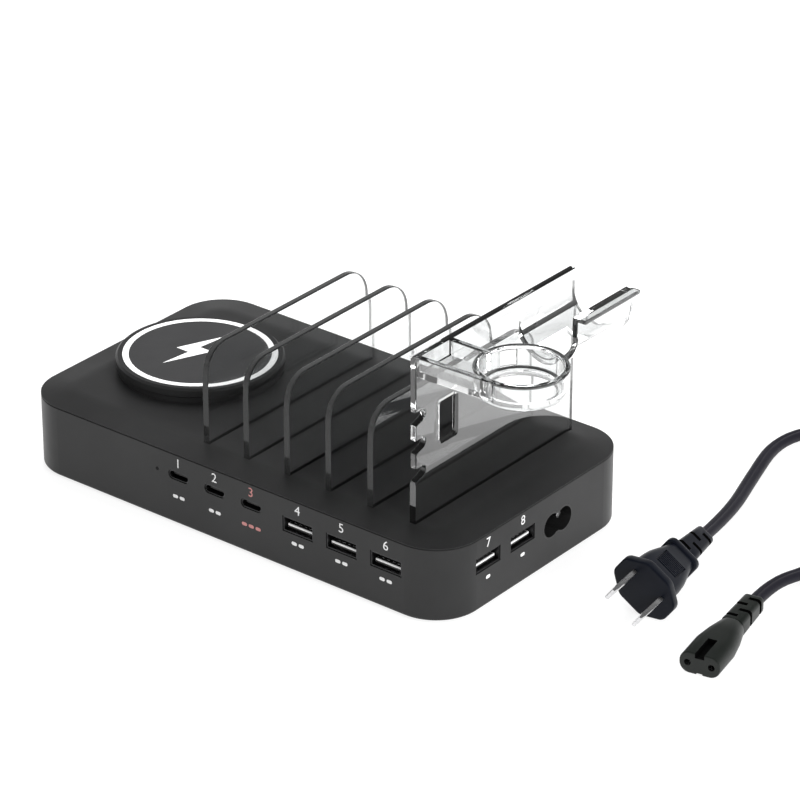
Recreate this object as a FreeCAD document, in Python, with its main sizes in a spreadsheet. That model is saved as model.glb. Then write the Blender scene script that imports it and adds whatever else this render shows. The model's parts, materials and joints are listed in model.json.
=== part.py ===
import FreeCAD, Part
import math
import os
import re

import Sketcher

# A desktop charging station: a flat base with USB sockets on two sides, a wireless puck,
# five clear dividers and a clear holder that lift out of slots, and a separate mains lead.
# +X runs along the base towards the mains inlet, -Y is the long face with the sockets, +Z is up,
# and the origin is on the standing surface under the middle of the base. Millimetres and degrees.

SIZES = {
    # Base casing
    "base_length": 193.0,
    "base_width": 107.0,
    "corner_radius": 17.4,
    "foot_stand": 0.8,
    "top_height": 30.1,
    "cover_tall": 1.8,
    "wall": 2.2,
    "floor_wall": 2.2,
    "base_edge": 1.2,
    "seam_chamfer": 0.3,
    "cover_side": 0.5,
    "crown_band": 11.0,
    "crown_blend": 30.0,
    "cover_thick": 3.0,
    "lip_gap": 0.2,
    "lip_wall": 1.4,
    "lip_depth": 2.5,
    # Feet, casing screws and the posts that they join
    "foot_radius": 6.0,
    "foot_thick": 1.6,
    "foot_gap": 0.1,
    "post_inset_x": 22.5,
    "post_front_inset": 19.5,
    "post_back_inset": 11.5,
    "boss_radius": 4.4,
    "boss_top": 10.0,
    "post_radius": 3.5,
    "screw_radius": 1.45,
    "screw_gap": 0.1,
    "screw_reach": 12.0,
    "screw_head_radius": 2.8,
    "screw_head": 2.0,
    # Slots and dividers
    "divider_thick": 2.5,
    "divider_first_x": -17.8,
    "divider_pitch": 18.36,
    "divider_front_inset": 11.1,
    "divider_back_inset": 7.7,
    "divider_top": 67.0,
    "divider_front_round": 10.0,
    "divider_back_round": 12.0,
    "divider_edge": 0.3,
    "slot_depth": 6.0,
    "slot_gap": 0.15,
    "well_wall": 1.6,
    "well_floor": 1.2,
    # Holder plate with its cable notches and window
    "holder_top": 92.7,
    "holder_corner": 1.5,
    "notch_first": 47.1,
    "notch_pitch": 10.2,
    "notch_height": 5.6,
    "notch_depth": 7.2,
    "notch_rise": 2.6,
    "notch_round": 2.0,
    "window_inset": 13.2,
    "window_wide": 10.2,
    "window_low": 55.5,
    "window_high": 70.0,
    "window_round": 1.2,
    # Watch ring on its arm
    "ring_reach": 30.15,
    "ring_inset": 17.65,
    "ring_bore": 13.9,
    "ring_wall": 1.3,
    "ring_height": 10.2,
    "ring_foot_round": 2.0,
    "ring_flange": 1.0,
    "ring_flange_thick": 1.3,
    "ring_ledge": 1.7,
    "ring_ledge_thick": 2.8,
    "ring_slot": 6.0,
    "ring_slot_angle": 145.0,
    "arm_height": 7.6,
    "arm_back_reach": 2.25,
    "arm_wall": 2.2,
    "arm_floor": 1.8,
    # Earbud cradle
    "cradle_long": 31.8,
    "cradle_width": 22.4,
    "cradle_wall": 2.2,
    "cradle_side": 7.2,
    "cradle_lip": 3.2,
    "cradle_lip_thick": 1.6,
    "cradle_hole_inset": 3.8,
    "cradle_hole_long": 16.7,
    "cradle_hole_width": 12.0,
    # Wireless puck
    "puck_x": -59.0,
    "puck_rise": 5.9,
    "puck_radius": 29.7,
    "puck_rim": 0.8,
    "puck_skirt": 2.1,
    "puck_skirt_inset": 0.8,
    "puck_groove": 0.6,
    "puck_groove_depth": 1.5,
    "puck_floor": 1.3,
    "puck_band": 2.5,
    "ring_light_width": 2.3,
    "ring_light_ledge": 0.3,
    "inlay_gap": 0.05,
    "pad_thick": 1.6,
    "collar_radius": 11.8,
    "collar_wall": 2.8,
    "collar_depth": 5.1,
    "collar_gap": 0.2,
    "coil_radius": 21.5,
    "coil_hole": 9.5,
    "coil_thick": 1.2,
    "ferrite_radius": 22.5,
    "ferrite_thick": 0.8,
    "bolt_x": -2.2,
    "bolt_y": 0.7,
    "bolt_reach": 15.2,
    "bolt_lean": 1.9,
    "bolt_half": 6.1,
    "bolt_step": 2.75,
    "bolt_waist": 0.4,
    "bolt_deep": 0.4,
    # Sockets in the casing walls
    "port_gap": 0.15,
    "port_recess": 0.4,
    "usb_a_drop": 11.9,
    "usb_a_wide": 13.2,
    "usb_a_tall": 5.7,
    "usb_a_deep": 14.0,
    "usb_a_wall": 0.4,
    "usb_a_front_inset": 25.3,
    "usb_a_pitch": 19.3,
    "usb_a_side_inset": 23.7,
    "tongue_wide": 11.1,
    "tongue_tall": 1.3,
    "tongue_drop": 1.1,
    "tongue_back": 1.3,
    "tongue_block": 3.0,
    "usb_c_drop": 10.1,
    "usb_c_wide": 9.0,
    "usb_c_tall": 3.3,
    "usb_c_deep": 7.4,
    "usb_c_wall": 0.35,
    "usb_c_inset": 84.8,
    "usb_c_pitch": 16.65,
    "usb_c_tongue_wide": 6.6,
    "usb_c_tongue_tall": 0.7,
    "usb_c_leg": 1.2,
    "light_inset": 127.9,
    "light_drop": 10.0,
    "light_radius": 0.7,
    "light_deep": 7.0,
    # Mains inlet
    "inlet_inset": 63.0,
    "inlet_drop": 14.3,
    "inlet_lobe": 4.4,
    "inlet_half_pitch": 3.4,
    "inlet_rim": 0.6,
    "inlet_waist": 0.8,
    "inlet_deep": 14.5,
    "inlet_block_wide": 22.0,
    "inlet_block_tall": 13.0,
    "inlet_block_deep": 18.3,
    "inlet_pin_radius": 1.18,
    "inlet_pin_half_pitch": 4.3,
    "inlet_pin_recess": 3.0,
    "inlet_tag_reach": 14.0,
    "inlet_rest_wide": 11.0,
    "inlet_rest_deep": 14.0,
    # Circuit boards and what stands on them
    "board_end_gap": 30.5,
    "board_front_gap": 17.5,
    "board_back_gap": 6.5,
    "board_thick": 1.6,
    "board_stand": 4.0,
    "board_screw_end": 8.0,
    "board_screw_front_gap": 8.0,
    "board_screw_back_gap": 7.0,
    "standoff_radius": 3.0,
    "board_screw_radius": 1.2,
    "board_screw_reach": 3.0,
    "board_screw_head_radius": 2.5,
    "board_screw_head": 1.6,
    "port_board_reach": 8.6,
    "port_board_edge": 2.3,
    "port_board_deep": 15.5,
    "port_board_arm_inset": 16.5,
    "port_board_arm_gap": 1.0,
    "port_screw_end": 4.5,
    "port_screw_side": 11.6,
    "port_screw_inset": 10.5,
    "ribbon_wide": 20.0,
    "ribbon_side": 21.0,
    "ribbon_thick": 0.8,
    "ribbon_gap": 0.6,
    "ribbon_foot": 4.0,
    "ribbon_lap": 4.0,
    "core_reach": 20.2,
    "core_back": 29.0,
    "core_long": 30.0,
    "core_deep": 12.0,
    "core_clear": 2.5,
    "core_leg": 4.0,
    "core_middle_leg": 8.0,
    "core_yoke": 3.0,
    "winding_deep": 24.0,
    "winding_gap": 0.2,
    "capacitor_reach": 26.2,
    "capacitor_front": 17.0,
    "capacitor_pitch": 15.0,
    "capacitor_radius": 6.0,
    "capacitor_clear": 2.5,
    "choke_inset": 22.0,
    "choke_back": 17.0,
    "choke_ring": 6.0,
    "choke_thick": 3.0,
    "sink_x": 20.0,
    "sink_back": 39.0,
    "sink_long": 40.0,
    "sink_clear": 3.3,
    "sink_plate": 2.5,
    "sink_fin": 1.5,
    "sink_fin_reach": 8.0,
    "coil_lead_radius": 1.0,
    "coil_lead_drop": 9.0,
    "coil_lead_inset": 16.0,
    "coil_lead_rise": 8.0,
    # Mains lead: flat twin cord, tie and both end fittings
    "cord_width": 5.2,
    "coil_turns": 5.0,
    "coil_pitch": 5.7,
    "coil_outer": 35.7,
    "coil_side_x": 171.2,
    "coil_y": 76.0,
    "coil_run_in": 15.3,
    "coil_run_out": 18.8,
    "connector_run": 15.5,
    "plug_run": 24.0,
    "tie_thick": 0.8,
    "tie_gap": 0.3,
    "tie_wide": 12.0,
    "plug_x": 141.0,
    "plug_y": -2.0,
    "plug_yaw": 11.0,
    "plug_tilt": 5.0,
    "plug_roll": 36.0,
    "flange_wide": 24.0,
    "flange_tall": 17.0,
    "flange_bevel": 7.0,
    "flange_thick": 4.0,
    "grip_front_wide": 18.0,
    "grip_front_tall": 13.0,
    "grip_back_wide": 11.5,
    "grip_back_tall": 10.0,
    "grip_long": 22.0,
    "grip_round": 2.5,
    "rib_long": 9.0,
    "rib_thick": 0.9,
    "rib_pitch": 2.2,
    "rib_proud": 0.5,
    "collar_long": 3.0,
    "plug_collar_wide": 14.0,
    "plug_collar_tall": 11.0,
    "plug_boot_long": 21.0,
    "plug_boot_wide": 9.6,
    "plug_boot_tall": 7.8,
    "boot_end_wide": 7.4,
    "boot_end_tall": 6.0,
    "boot_round": 1.6,
    "boot_slit": 1.1,
    "boot_core": 5.8,
    "blade_pitch": 12.7,
    "blade_wide": 6.35,
    "blade_thick": 1.5,
    "blade_long": 16.5,
    "blade_root": 6.0,
    "blade_gap": 0.05,
    "connector_x": 178.0,
    "connector_y": -22.0,
    "connector_yaw": 11.2,
    "connector_wide": 14.6,
    "connector_tall": 8.0,
    "connector_nose": 13.0,
    "connector_taper": 14.0,
    "connector_neck_wide": 9.0,
    "connector_neck_tall": 7.6,
    "connector_groove_wide": 2.4,
    "connector_groove_deep": 0.9,
    "connector_groove_long": 10.0,
    "connector_boot_long": 19.0,
    "connector_boot_wide": 8.0,
    "connector_boot_tall": 6.8,
    "sleeve_radius": 1.65,
    "sleeve_wall": 0.4,
    "sleeve_gap": 0.05,
    "sleeve_deep": 12.0,
}

DIVIDERS = 5
NOTCHES = 3
FRONT_USB_A = 3
SIDE_USB_A = 2
USB_C = 3
CAPACITORS = 2
SINK_FINS = 6
GRIP_RIBS = 5
BOOT_SLITS = 4
FULL_TURN = 360.0

# Points of the mains cord between its coil and the plug: one on the way down, the rest on the surface
CORD_DESCENT = (170.4, 120.0)
CORD_BEND = (
    (167.8, 140.0),
    (153.3, 154.5),
    (133.0, 157.0),
    (115.4, 146.4),
    (108.1, 127.3),
    (116.9, 98.6),
)

TINY = 0.01

# Levels and places that several pieces share
TRAY_FLOOR = "(foot_stand + floor_wall)"
COVER_UNDERSIDE = "(top_height - cover_thick)"
SLOT_FLOOR = "(top_height - slot_depth)"
WELL_BOTTOM = "(top_height - slot_depth - well_floor)"
FACE_Y = "(-base_width / 2)"
FACE_X = "(base_length / 2)"
SEAM = "(top_height - cover_tall)"
POST_X = "(base_length / 2 - post_inset_x)"
POST_FRONT = "(post_front_inset - base_width / 2)"
POST_BACK = "(base_width / 2 - post_back_inset)"
HEAD_TOP = "(foot_thick + screw_gap + screw_head)"
BOARD_TOP = "(foot_stand + floor_wall + board_stand + board_thick)"
BOARD_END = "(base_length / 2 - board_end_gap)"
BOARD_FRONT = "(board_front_gap - base_width / 2)"
BOARD_BACK = "(base_width / 2 - board_back_gap)"
USB_A_LEVEL = "(top_height - usb_a_drop)"
USB_C_LEVEL = "(top_height - usb_c_drop)"
LIGHT_LEVEL = "(top_height - light_drop)"
LIGHT_X = "(base_length / 2 - light_inset)"
PORT_BOARD_TOP = "(top_height - usb_a_drop - usb_a_tall / 2)"
PORT_BOARD_UNDER = "(top_height - usb_a_drop - usb_a_tall / 2 - board_thick)"
PORT_BOARD_LEFT = "(base_length / 2 - light_inset - port_board_reach)"
PORT_BOARD_BACK = "(port_board_deep - base_width / 2)"
DIVIDER_FRONT = "(divider_front_inset - base_width / 2)"
DIVIDER_BACK = "(base_width / 2 - divider_back_inset)"
HOLDER_X = f"(divider_first_x + {DIVIDERS} * divider_pitch)"
HOLDER_FACE = f"({HOLDER_X} + divider_thick / 2)"
WINDOW_FRONT = f"({DIVIDER_FRONT} + window_inset)"
WINDOW_BACK = f"({DIVIDER_FRONT} + window_inset + window_wide)"
RING_X = f"({HOLDER_FACE} + ring_reach)"
RING_Y = f"({DIVIDER_FRONT} + ring_inset)"
RING_OUTER = "(ring_bore + ring_wall + ring_flange)"
RING_BOTTOM = "(holder_top - ring_height)"
ARM_BOTTOM = "(holder_top - arm_height)"
ARM_BACK = f"({DIVIDER_FRONT} + ring_inset + arm_back_reach)"
CRADLE_FRONT = f"({DIVIDER_BACK} - cradle_long)"
CRADLE_MIDDLE = "(holder_top - cradle_side)"
CRADLE_X = f"({HOLDER_FACE} + cradle_width / 2)"
CRADLE_OUTER = "(cradle_width / 2 + cradle_wall)"
RECESS_RADIUS = "(puck_radius - puck_band)"
LIGHT_INNER = "(puck_radius - puck_band - ring_light_width)"
PUCK_CAVITY = "(puck_radius - puck_band - ring_light_width - ring_light_ledge)"
PUCK_TOP = "(top_height + puck_rise)"
PAD_UNDER = "(top_height + puck_rise - pad_thick)"
PUCK_FLOOR_TOP = "(top_height + puck_floor)"
INLET_Y = "(inlet_inset - base_width / 2)"
INLET_LEVEL = "(top_height - inlet_drop)"
INLET_BACK = "(base_length / 2 - wall - inlet_block_deep)"
INLET_TAG = "(base_length / 2 - wall - inlet_block_deep - inlet_tag_reach)"

doc = FreeCAD.newDocument("ChargingStation")
sheet = doc.addObject("Spreadsheet::Sheet", "Sizes")
for row, (name, number) in enumerate(SIZES.items(), start=1):
    sheet.set(f"A{row}", name)
    sheet.set(f"B{row}", str(number))
    sheet.setAlias(f"B{row}", name)
doc.recompute()

subparts = []


# Formulas and document objects


def formula(text):
    """The formula with each size's name as its cell in the sheet."""
    names = r"[a-z][a-z0-9_]*"
    return re.sub(names, lambda word: "Sizes." + word[0] if word[0] in SIZES else word[0], str(text))


def value(text):
    """What a formula of sizes comes to."""
    return float(sheet.evalExpression(formula(text)))


def bind(thing, **formulas):
    for name, text in formulas.items():
        thing.setExpression(name, formula(text))


def move(thing, x, y, z):
    for letter, text in zip("xyz", (x, y, z)):
        thing.setExpression(f"Placement.Base.{letter}", formula(text))


def keep(thing, label):
    """Makes a finished object a sub-part under its own name."""
    thing.Label = label
    subparts.append(thing)
    return thing


# Solids from primitives and booleans


def box(size, corner):
    made = doc.addObject("Part::Box", "block")
    bind(made, Length=size[0], Width=size[1], Height=size[2])
    move(made, *corner)
    return made


def centred_box(size, middle):
    return box(size, [f"{place} - ({extent}) / 2" for place, extent in zip(middle, size)])


def rod(radius, length, start, along="Z"):
    turns = {
        "X": FreeCAD.Rotation(FreeCAD.Vector(0, 1, 0), 90),
        "Y": FreeCAD.Rotation(FreeCAD.Vector(1, 0, 0), -90),
        "Z": FreeCAD.Rotation(),
    }
    made = doc.addObject("Part::Cylinder", "rod")
    made.Placement = FreeCAD.Placement(FreeCAD.Vector(), turns[along])
    bind(made, Radius=radius, Height=length)
    move(made, *start)
    return made


def fuse(*shapes):
    made = doc.addObject("Part::MultiFuse", "fused")
    made.Shapes = list(shapes)
    made.Refine = True
    return made


def cut(base, *tools):
    made = doc.addObject("Part::Cut", "cut")
    made.Base = base
    made.Tool = tools[0] if len(tools) == 1 else fuse(*tools)
    made.Refine = True
    return made


def group(*shapes):
    made = doc.addObject("Part::Compound", "group")
    made.Links = list(shapes)
    return made


def tube(outer, inner, length, start, along="Z"):
    return cut(rod(outer, length, start, along), rod(inner, length, start, along))


# Solids from sketches


def body():
    return doc.addObject("PartDesign::Body", "body")


def origin_feature(owner, role):
    return next(feature for feature in owner.Origin.OriginFeatures if feature.Role == role)


def sketch(owner, role, offset="0"):
    made = owner.newObject("Sketcher::SketchObject", "sketch")
    made.AttachmentSupport = [(origin_feature(owner, role), "")]
    made.MapMode = "FlatFace"
    made.setExpression("AttachmentOffset.Base.z", formula(offset))
    return made


def fix_point(drawn, geometry, position, x, y):
    """Ties a point of a sketch to the sketch's origin."""
    for kind, text in (("DistanceX", x), ("DistanceY", y)):
        index = drawn.addConstraint(Sketcher.Constraint(kind, -1, 1, geometry, position, value(text)))
        drawn.setExpression(f"Constraints[{index}]", formula(text))


def fix_radius(drawn, geometry, radius):
    index = drawn.addConstraint(Sketcher.Constraint("Radius", geometry, value(radius)))
    drawn.setExpression(f"Constraints[{index}]", formula(radius))


def polygon(drawn, corners):
    points = [FreeCAD.Vector(value(x), value(y), 0) for x, y in corners]
    first = drawn.GeometryCount
    count = len(points)
    for i in range(count):
        drawn.addGeometry(Part.LineSegment(points[i], points[(i + 1) % count]))
    for i in range(count):
        drawn.addConstraint(Sketcher.Constraint("Coincident", first + i, 2, first + (i + 1) % count, 1))
    for i, (x, y) in enumerate(corners):
        fix_point(drawn, first + i, 1, x, y)


def rectangle(drawn, left, low, right, high):
    polygon(drawn, [(left, low), (right, low), (right, high), (left, high)])


def rounded_rectangle(drawn, length, width, radius):
    """A rectangle about the sketch's origin with its four corners rounded."""
    half_x = f"(({length}) / 2 - ({radius}))"
    half_y = f"(({width}) / 2 - ({radius}))"
    x, y, r = value(half_x), value(half_y), value(radius)
    up = FreeCAD.Vector(0, 0, 1)
    quarter = math.pi / 2
    centres = [(x, -y), (x, y), (-x, y), (-x, -y)]
    lines = [
        ((-x, -y - r), (x, -y - r)),
        ((x + r, -y), (x + r, y)),
        ((x, y + r), (-x, y + r)),
        ((-x - r, y), (-x - r, -y)),
    ]
    for i in range(4):
        start, end = (FreeCAD.Vector(*point, 0) for point in lines[i])
        drawn.addGeometry(Part.LineSegment(start, end))
        circle = Part.Circle(FreeCAD.Vector(*centres[i], 0), up, r)
        drawn.addGeometry(Part.ArcOfCircle(circle, (i - 1) * quarter, i * quarter))
    for i in range(4):
        line, arc, following = 2 * i, 2 * i + 1, (2 * i + 2) % 8
        drawn.addConstraint(Sketcher.Constraint("Tangent", line, 2, arc, 1))
        drawn.addConstraint(Sketcher.Constraint("Tangent", arc, 2, following, 1))
        drawn.addConstraint(Sketcher.Constraint("Horizontal" if i % 2 == 0 else "Vertical", line))
    for arc in (3, 5, 7):
        drawn.addConstraint(Sketcher.Constraint("Equal", 1, arc))
    fix_radius(drawn, 1, radius)
    fix_point(drawn, 1, 3, half_x, f"-{half_y}")
    fix_point(drawn, 5, 3, f"-{half_x}", half_y)


def pad(owner, drawn, length, reverse=False):
    made = owner.newObject("PartDesign::Pad", "pad")
    made.Profile = drawn
    made.Reversed = reverse
    made.setExpression("Length", formula(length))
    return made


def pocket(owner, drawn, length, reverse=False):
    made = owner.newObject("PartDesign::Pocket", "pocket")
    made.Profile = drawn
    made.Reversed = reverse
    made.setExpression("Length", formula(length))
    return made


def revolve(owner, drawn, role):
    made = owner.newObject("PartDesign::Revolution", "turned")
    made.Profile = drawn
    made.ReferenceAxis = (origin_feature(owner, role), [""])
    made.Angle = FULL_TURN
    return made


def loft(owner, first, last):
    made = owner.newObject("PartDesign::AdditiveLoft", "loft")
    made.Profile = first
    made.Sections = [last]
    made.Ruled = True
    return made


def dress(owner, kind, chosen, size_name, size):
    """Rounds or bevels the edges of a body whose bounding boxes are chosen."""
    doc.recompute()
    base = owner.Tip
    edges = [f"Edge{i}" for i, edge in enumerate(base.Shape.Edges, start=1) if chosen(edge.BoundBox)]
    made = owner.newObject(f"PartDesign::{kind}", kind.lower())
    made.Base = (base, edges)
    made.setExpression(size_name, formula(size))
    return made


def soften(owner, chosen, radius):
    return dress(owner, "Fillet", chosen, "Radius", radius)


def bevel(owner, chosen, size):
    return dress(owner, "Chamfer", chosen, "Size", size)


def near(number, text):
    return abs(number - value(text)) < TINY


def flat_at(level):
    """Chooses the edges that lie in a level plane."""
    return lambda bounds: near(bounds.ZMin, level) and near(bounds.ZMax, level)


def corner_at(y, level):
    """Chooses the edge along X at a corner of a plate."""
    return lambda bounds: near(bounds.YMin, y) and near(bounds.YMax, y) and near(bounds.ZMin, level)


def slab(length, width, radius, bottom, height):
    """A plate with rounded corners about the Z axis."""
    owner = body()
    outline = sketch(owner, "XY_Plane", bottom)
    rounded_rectangle(outline, length, width, radius)
    pad(owner, outline, height)
    return owner


# Places of the repeated pieces


def divider_x(i):
    return f"(divider_first_x + {i} * divider_pitch)"


def post_places():
    return [(f"{side} * {POST_X}", y) for side in (-1, 1) for y in (POST_FRONT, POST_BACK)]


def board_screw_places():
    rows = (f"({BOARD_FRONT} + board_screw_front_gap)", f"({BOARD_BACK} - board_screw_back_gap)")
    return [(f"{side} * ({BOARD_END} - board_screw_end)", y) for side in (-1, 1) for y in rows]


def port_screw_places():
    columns = (
        f"({PORT_BOARD_LEFT} + port_screw_end)",
        f"({front_usb_a_x(0)} - port_screw_side)",
        f"({FACE_X} - port_screw_inset)",
    )
    return [(x, f"({FACE_Y} + port_screw_inset)") for x in columns]


def front_usb_a_x(i):
    return f"({FACE_X} - usb_a_front_inset - {FRONT_USB_A - 1 - i} * usb_a_pitch)"


def usb_a_places():
    """The facing side of each socket, and the place of its middle along that side."""
    front = [("front", front_usb_a_x(i)) for i in range(FRONT_USB_A)]
    side = [("side", f"({FACE_Y} + usb_a_side_inset + {i} * usb_a_pitch)") for i in range(SIDE_USB_A)]
    return front + side


def usb_c_x(i):
    return f"({FACE_X} - usb_c_inset - {USB_C - 1 - i} * usb_c_pitch)"


def behind_face(facing, along, wide, tall, deep, start, level):
    """A box behind the front or side face, by its middle along the face and its depth behind it."""
    low, first = f"{level} - ({tall}) / 2", f"{along} - ({wide}) / 2"
    if facing == "front":
        return box((wide, deep, tall), (first, f"{FACE_Y} + ({start})", low))
    return box((deep, wide, tall), (f"{FACE_X} - ({start}) - ({deep})", first, low))


def oblong(along, wide, tall, deep, start, level):
    """A box behind the front face with round ends."""
    straight = behind_face("front", along, f"({wide}) - ({tall})", tall, deep, start, level)
    reach, front = f"(({wide}) - ({tall})) / 2", f"{FACE_Y} + ({start})"
    ends = [
        rod(f"({tall}) / 2", deep, (f"{along} + {side} * {reach}", front, level), "Y")
        for side in (-1, 1)
    ]
    return fuse(straight, *ends)


def figure_eight(lobe, deep, back):
    """Two joined round lobes along X at the mains inlet."""
    middles = [f"{INLET_Y} + {side} * inlet_half_pitch" for side in (-1, 1)]
    lobes = [rod(lobe, deep, (back, y, INLET_LEVEL), "X") for y in middles]
    half_waist = f"inlet_waist * ({lobe})"
    waist = box(
        (deep, "2 * inlet_half_pitch", f"2 * {half_waist}"),
        (back, middles[0], f"{INLET_LEVEL} - {half_waist}"),
    )
    return fuse(*lobes, waist)


# Casing


def make_base_tray():
    outside = slab("base_length", "base_width", "corner_radius", "foot_stand", f"{SEAM} - foot_stand")
    soften(outside, flat_at("foot_stand"), "base_edge")
    bevel(outside, flat_at(SEAM), "seam_chamfer")
    inside = slab(
        "base_length - 2 * wall", "base_width - 2 * wall", "corner_radius - wall", TRAY_FLOOR, SEAM
    )
    rest_height = f"{INLET_LEVEL} - inlet_block_tall / 2 - {TRAY_FLOOR}"
    raised = [
        box(
            ("inlet_rest_deep", "inlet_rest_wide", rest_height),
            (f"{INLET_BACK} + wall", f"{INLET_Y} - inlet_rest_wide / 2", TRAY_FLOOR),
        )
    ]
    holes = []
    for x, y in post_places():
        raised.append(rod("boss_radius", f"boss_top - {TRAY_FLOOR}", (x, y, TRAY_FLOOR)))
        holes.append(rod("foot_radius + foot_gap", "foot_thick", (x, y, "0")))
        holes.append(rod("screw_head_radius + screw_gap", f"{HEAD_TOP}", (x, y, "0")))
        holes.append(rod("screw_radius + screw_gap", "boss_top", (x, y, "0")))
    for x, y in board_screw_places():
        raised.append(rod("standoff_radius", "board_stand", (x, y, TRAY_FLOOR)))
        holes.append(rod("board_screw_radius + screw_gap", "board_stand", (x, y, TRAY_FLOOR)))
    for x, y in port_screw_places():
        raised.append(rod("standoff_radius", f"{PORT_BOARD_UNDER} - {TRAY_FLOOR}", (x, y, TRAY_FLOOR)))
        depth = "(board_screw_reach + board_thick)"
        holes.append(rod("board_screw_radius + screw_gap", depth, (x, y, f"{PORT_BOARD_UNDER} - {depth}")))
    through, ahead = "3 * wall", "-wall"
    for facing, along in usb_a_places():
        wide, tall = "usb_a_wide + 2 * port_gap", "usb_a_tall + 2 * port_gap"
        holes.append(behind_face(facing, along, wide, tall, through, ahead, USB_A_LEVEL))
    for i in range(USB_C):
        wide, tall = "usb_c_wide + 2 * port_gap", "usb_c_tall + 2 * port_gap"
        holes.append(oblong(usb_c_x(i), wide, tall, through, ahead, USB_C_LEVEL))
    light = (LIGHT_X, f"{FACE_Y} - wall", LIGHT_LEVEL)
    holes.append(rod("light_radius + inlay_gap", through, light, "Y"))
    holes.append(figure_eight("inlet_lobe + inlet_rim + inlay_gap", through, f"{FACE_X} - 2 * wall"))
    keep(cut(fuse(cut(outside, inside), *raised), *holes), "base_tray")


def make_top_cover():
    rim = slab("base_length", "base_width", "corner_radius", SEAM, "cover_side")
    bevel(rim, flat_at(SEAM), "seam_chamfer")
    crown = body()
    outline = sketch(crown, "XY_Plane", f"{SEAM} + cover_side")
    rounded_rectangle(outline, "base_length", "base_width", "corner_radius")
    rise = "(cover_tall - cover_side)"
    sloped = pad(crown, outline, rise)
    bind(sloped, TaperAngle=f"-atan(crown_band / {rise})")
    soften(crown, flat_at("top_height"), "crown_blend")
    lip_bottom = f"({SEAM} - lip_depth)"
    lip_gap_all = "(2 * wall + 2 * lip_gap)"
    lip = slab(
        f"base_length - {lip_gap_all}",
        f"base_width - {lip_gap_all}",
        "corner_radius - wall - lip_gap",
        lip_bottom,
        "lip_depth",
    )
    hollow = slab(
        f"base_length - {lip_gap_all} - 2 * lip_wall",
        f"base_width - {lip_gap_all} - 2 * lip_wall",
        "corner_radius - wall - lip_gap - lip_wall",
        lip_bottom,
        f"{COVER_UNDERSIDE} - {lip_bottom}",
    )
    added, removed = [], []
    depth = f"({DIVIDER_BACK} - {DIVIDER_FRONT})"
    for i in range(DIVIDERS + 1):
        wide = "(divider_thick + 2 * slot_gap)"
        middle_y = f"({DIVIDER_FRONT} + {DIVIDER_BACK}) / 2"
        well_tall = f"({COVER_UNDERSIDE} - {WELL_BOTTOM})"
        well = (f"{wide} + 2 * well_wall", f"{depth} + 2 * slot_gap + 2 * well_wall", well_tall)
        added.append(centred_box(well, (divider_x(i), middle_y, f"{WELL_BOTTOM} + {well_tall} / 2")))
        slot = (wide, f"{depth} + 2 * slot_gap", "2 * slot_depth")
        removed.append(centred_box(slot, (divider_x(i), middle_y, "top_height")))
    for x, y in post_places():
        added.append(rod("post_radius", f"{COVER_UNDERSIDE} - boss_top", (x, y, "boss_top")))
        removed.append(rod("screw_radius + screw_gap", "screw_reach - screw_head", (x, y, "boss_top")))
    collar_end = ("puck_x", "0", "top_height - collar_depth")
    removed.append(rod("collar_radius + collar_gap", "2 * collar_depth", collar_end))
    shell = cut(fuse(rim, crown, lip), hollow)
    keep(cut(fuse(shell, *added), *removed), "top_cover")


def make_feet_and_screws():
    names = ("foot_back_left", "foot_front_left", "foot_back_right", "foot_front_right")
    order = (1, 0, 3, 2)
    places = post_places()
    for name, place in zip(names, order):
        keep(rod("foot_radius", "foot_thick", (*places[place], "0")), name)
    screws = []
    for x, y in places:
        head = rod("screw_head_radius", "screw_head", (x, y, f"{HEAD_TOP} - screw_head"))
        screws.append(fuse(head, rod("screw_radius", "screw_reach", (x, y, HEAD_TOP))))
    keep(group(*screws), "cover_screws")


# Clear dividers and the holder


def clear_plate(top):
    """The upright plate of a divider or the holder, before it is set at its slot."""
    owner = body()
    outline = sketch(owner, "YZ_Plane", "-divider_thick / 2")
    rectangle(outline, DIVIDER_FRONT, SLOT_FLOOR, DIVIDER_BACK, top)
    pad(owner, outline, "divider_thick")
    return owner


def make_dividers():
    for i in range(DIVIDERS):
        plate = clear_plate("divider_top")
        soften(plate, corner_at(DIVIDER_FRONT, "divider_top"), "divider_front_round")
        soften(plate, corner_at(DIVIDER_BACK, "divider_top"), "divider_back_round")
        soften(plate, lambda b: b.XLength < TINY and b.ZMax > value("top_height"), "divider_edge")
        move(plate, divider_x(i), "0", "0")
        keep(plate, f"divider_{i + 1}")


def make_ring_wall():
    """The watch ring before it is bored: a cup with a rounded foot and a flange round its rim."""
    owner = body()
    profile = sketch(owner, "XZ_Plane")
    outer = "(ring_bore + ring_wall)"
    flange_under = "(holder_top - ring_flange_thick)"
    polygon(
        profile,
        [
            ("0", RING_BOTTOM),
            (outer, RING_BOTTOM),
            (outer, flange_under),
            (RING_OUTER, flange_under),
            (RING_OUTER, "holder_top"),
            ("0", "holder_top"),
        ],
    )
    revolve(owner, profile, "Z_Axis")
    soften(owner, flat_at(RING_BOTTOM), "ring_foot_round")
    move(owner, RING_X, RING_Y, "0")
    return owner


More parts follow.
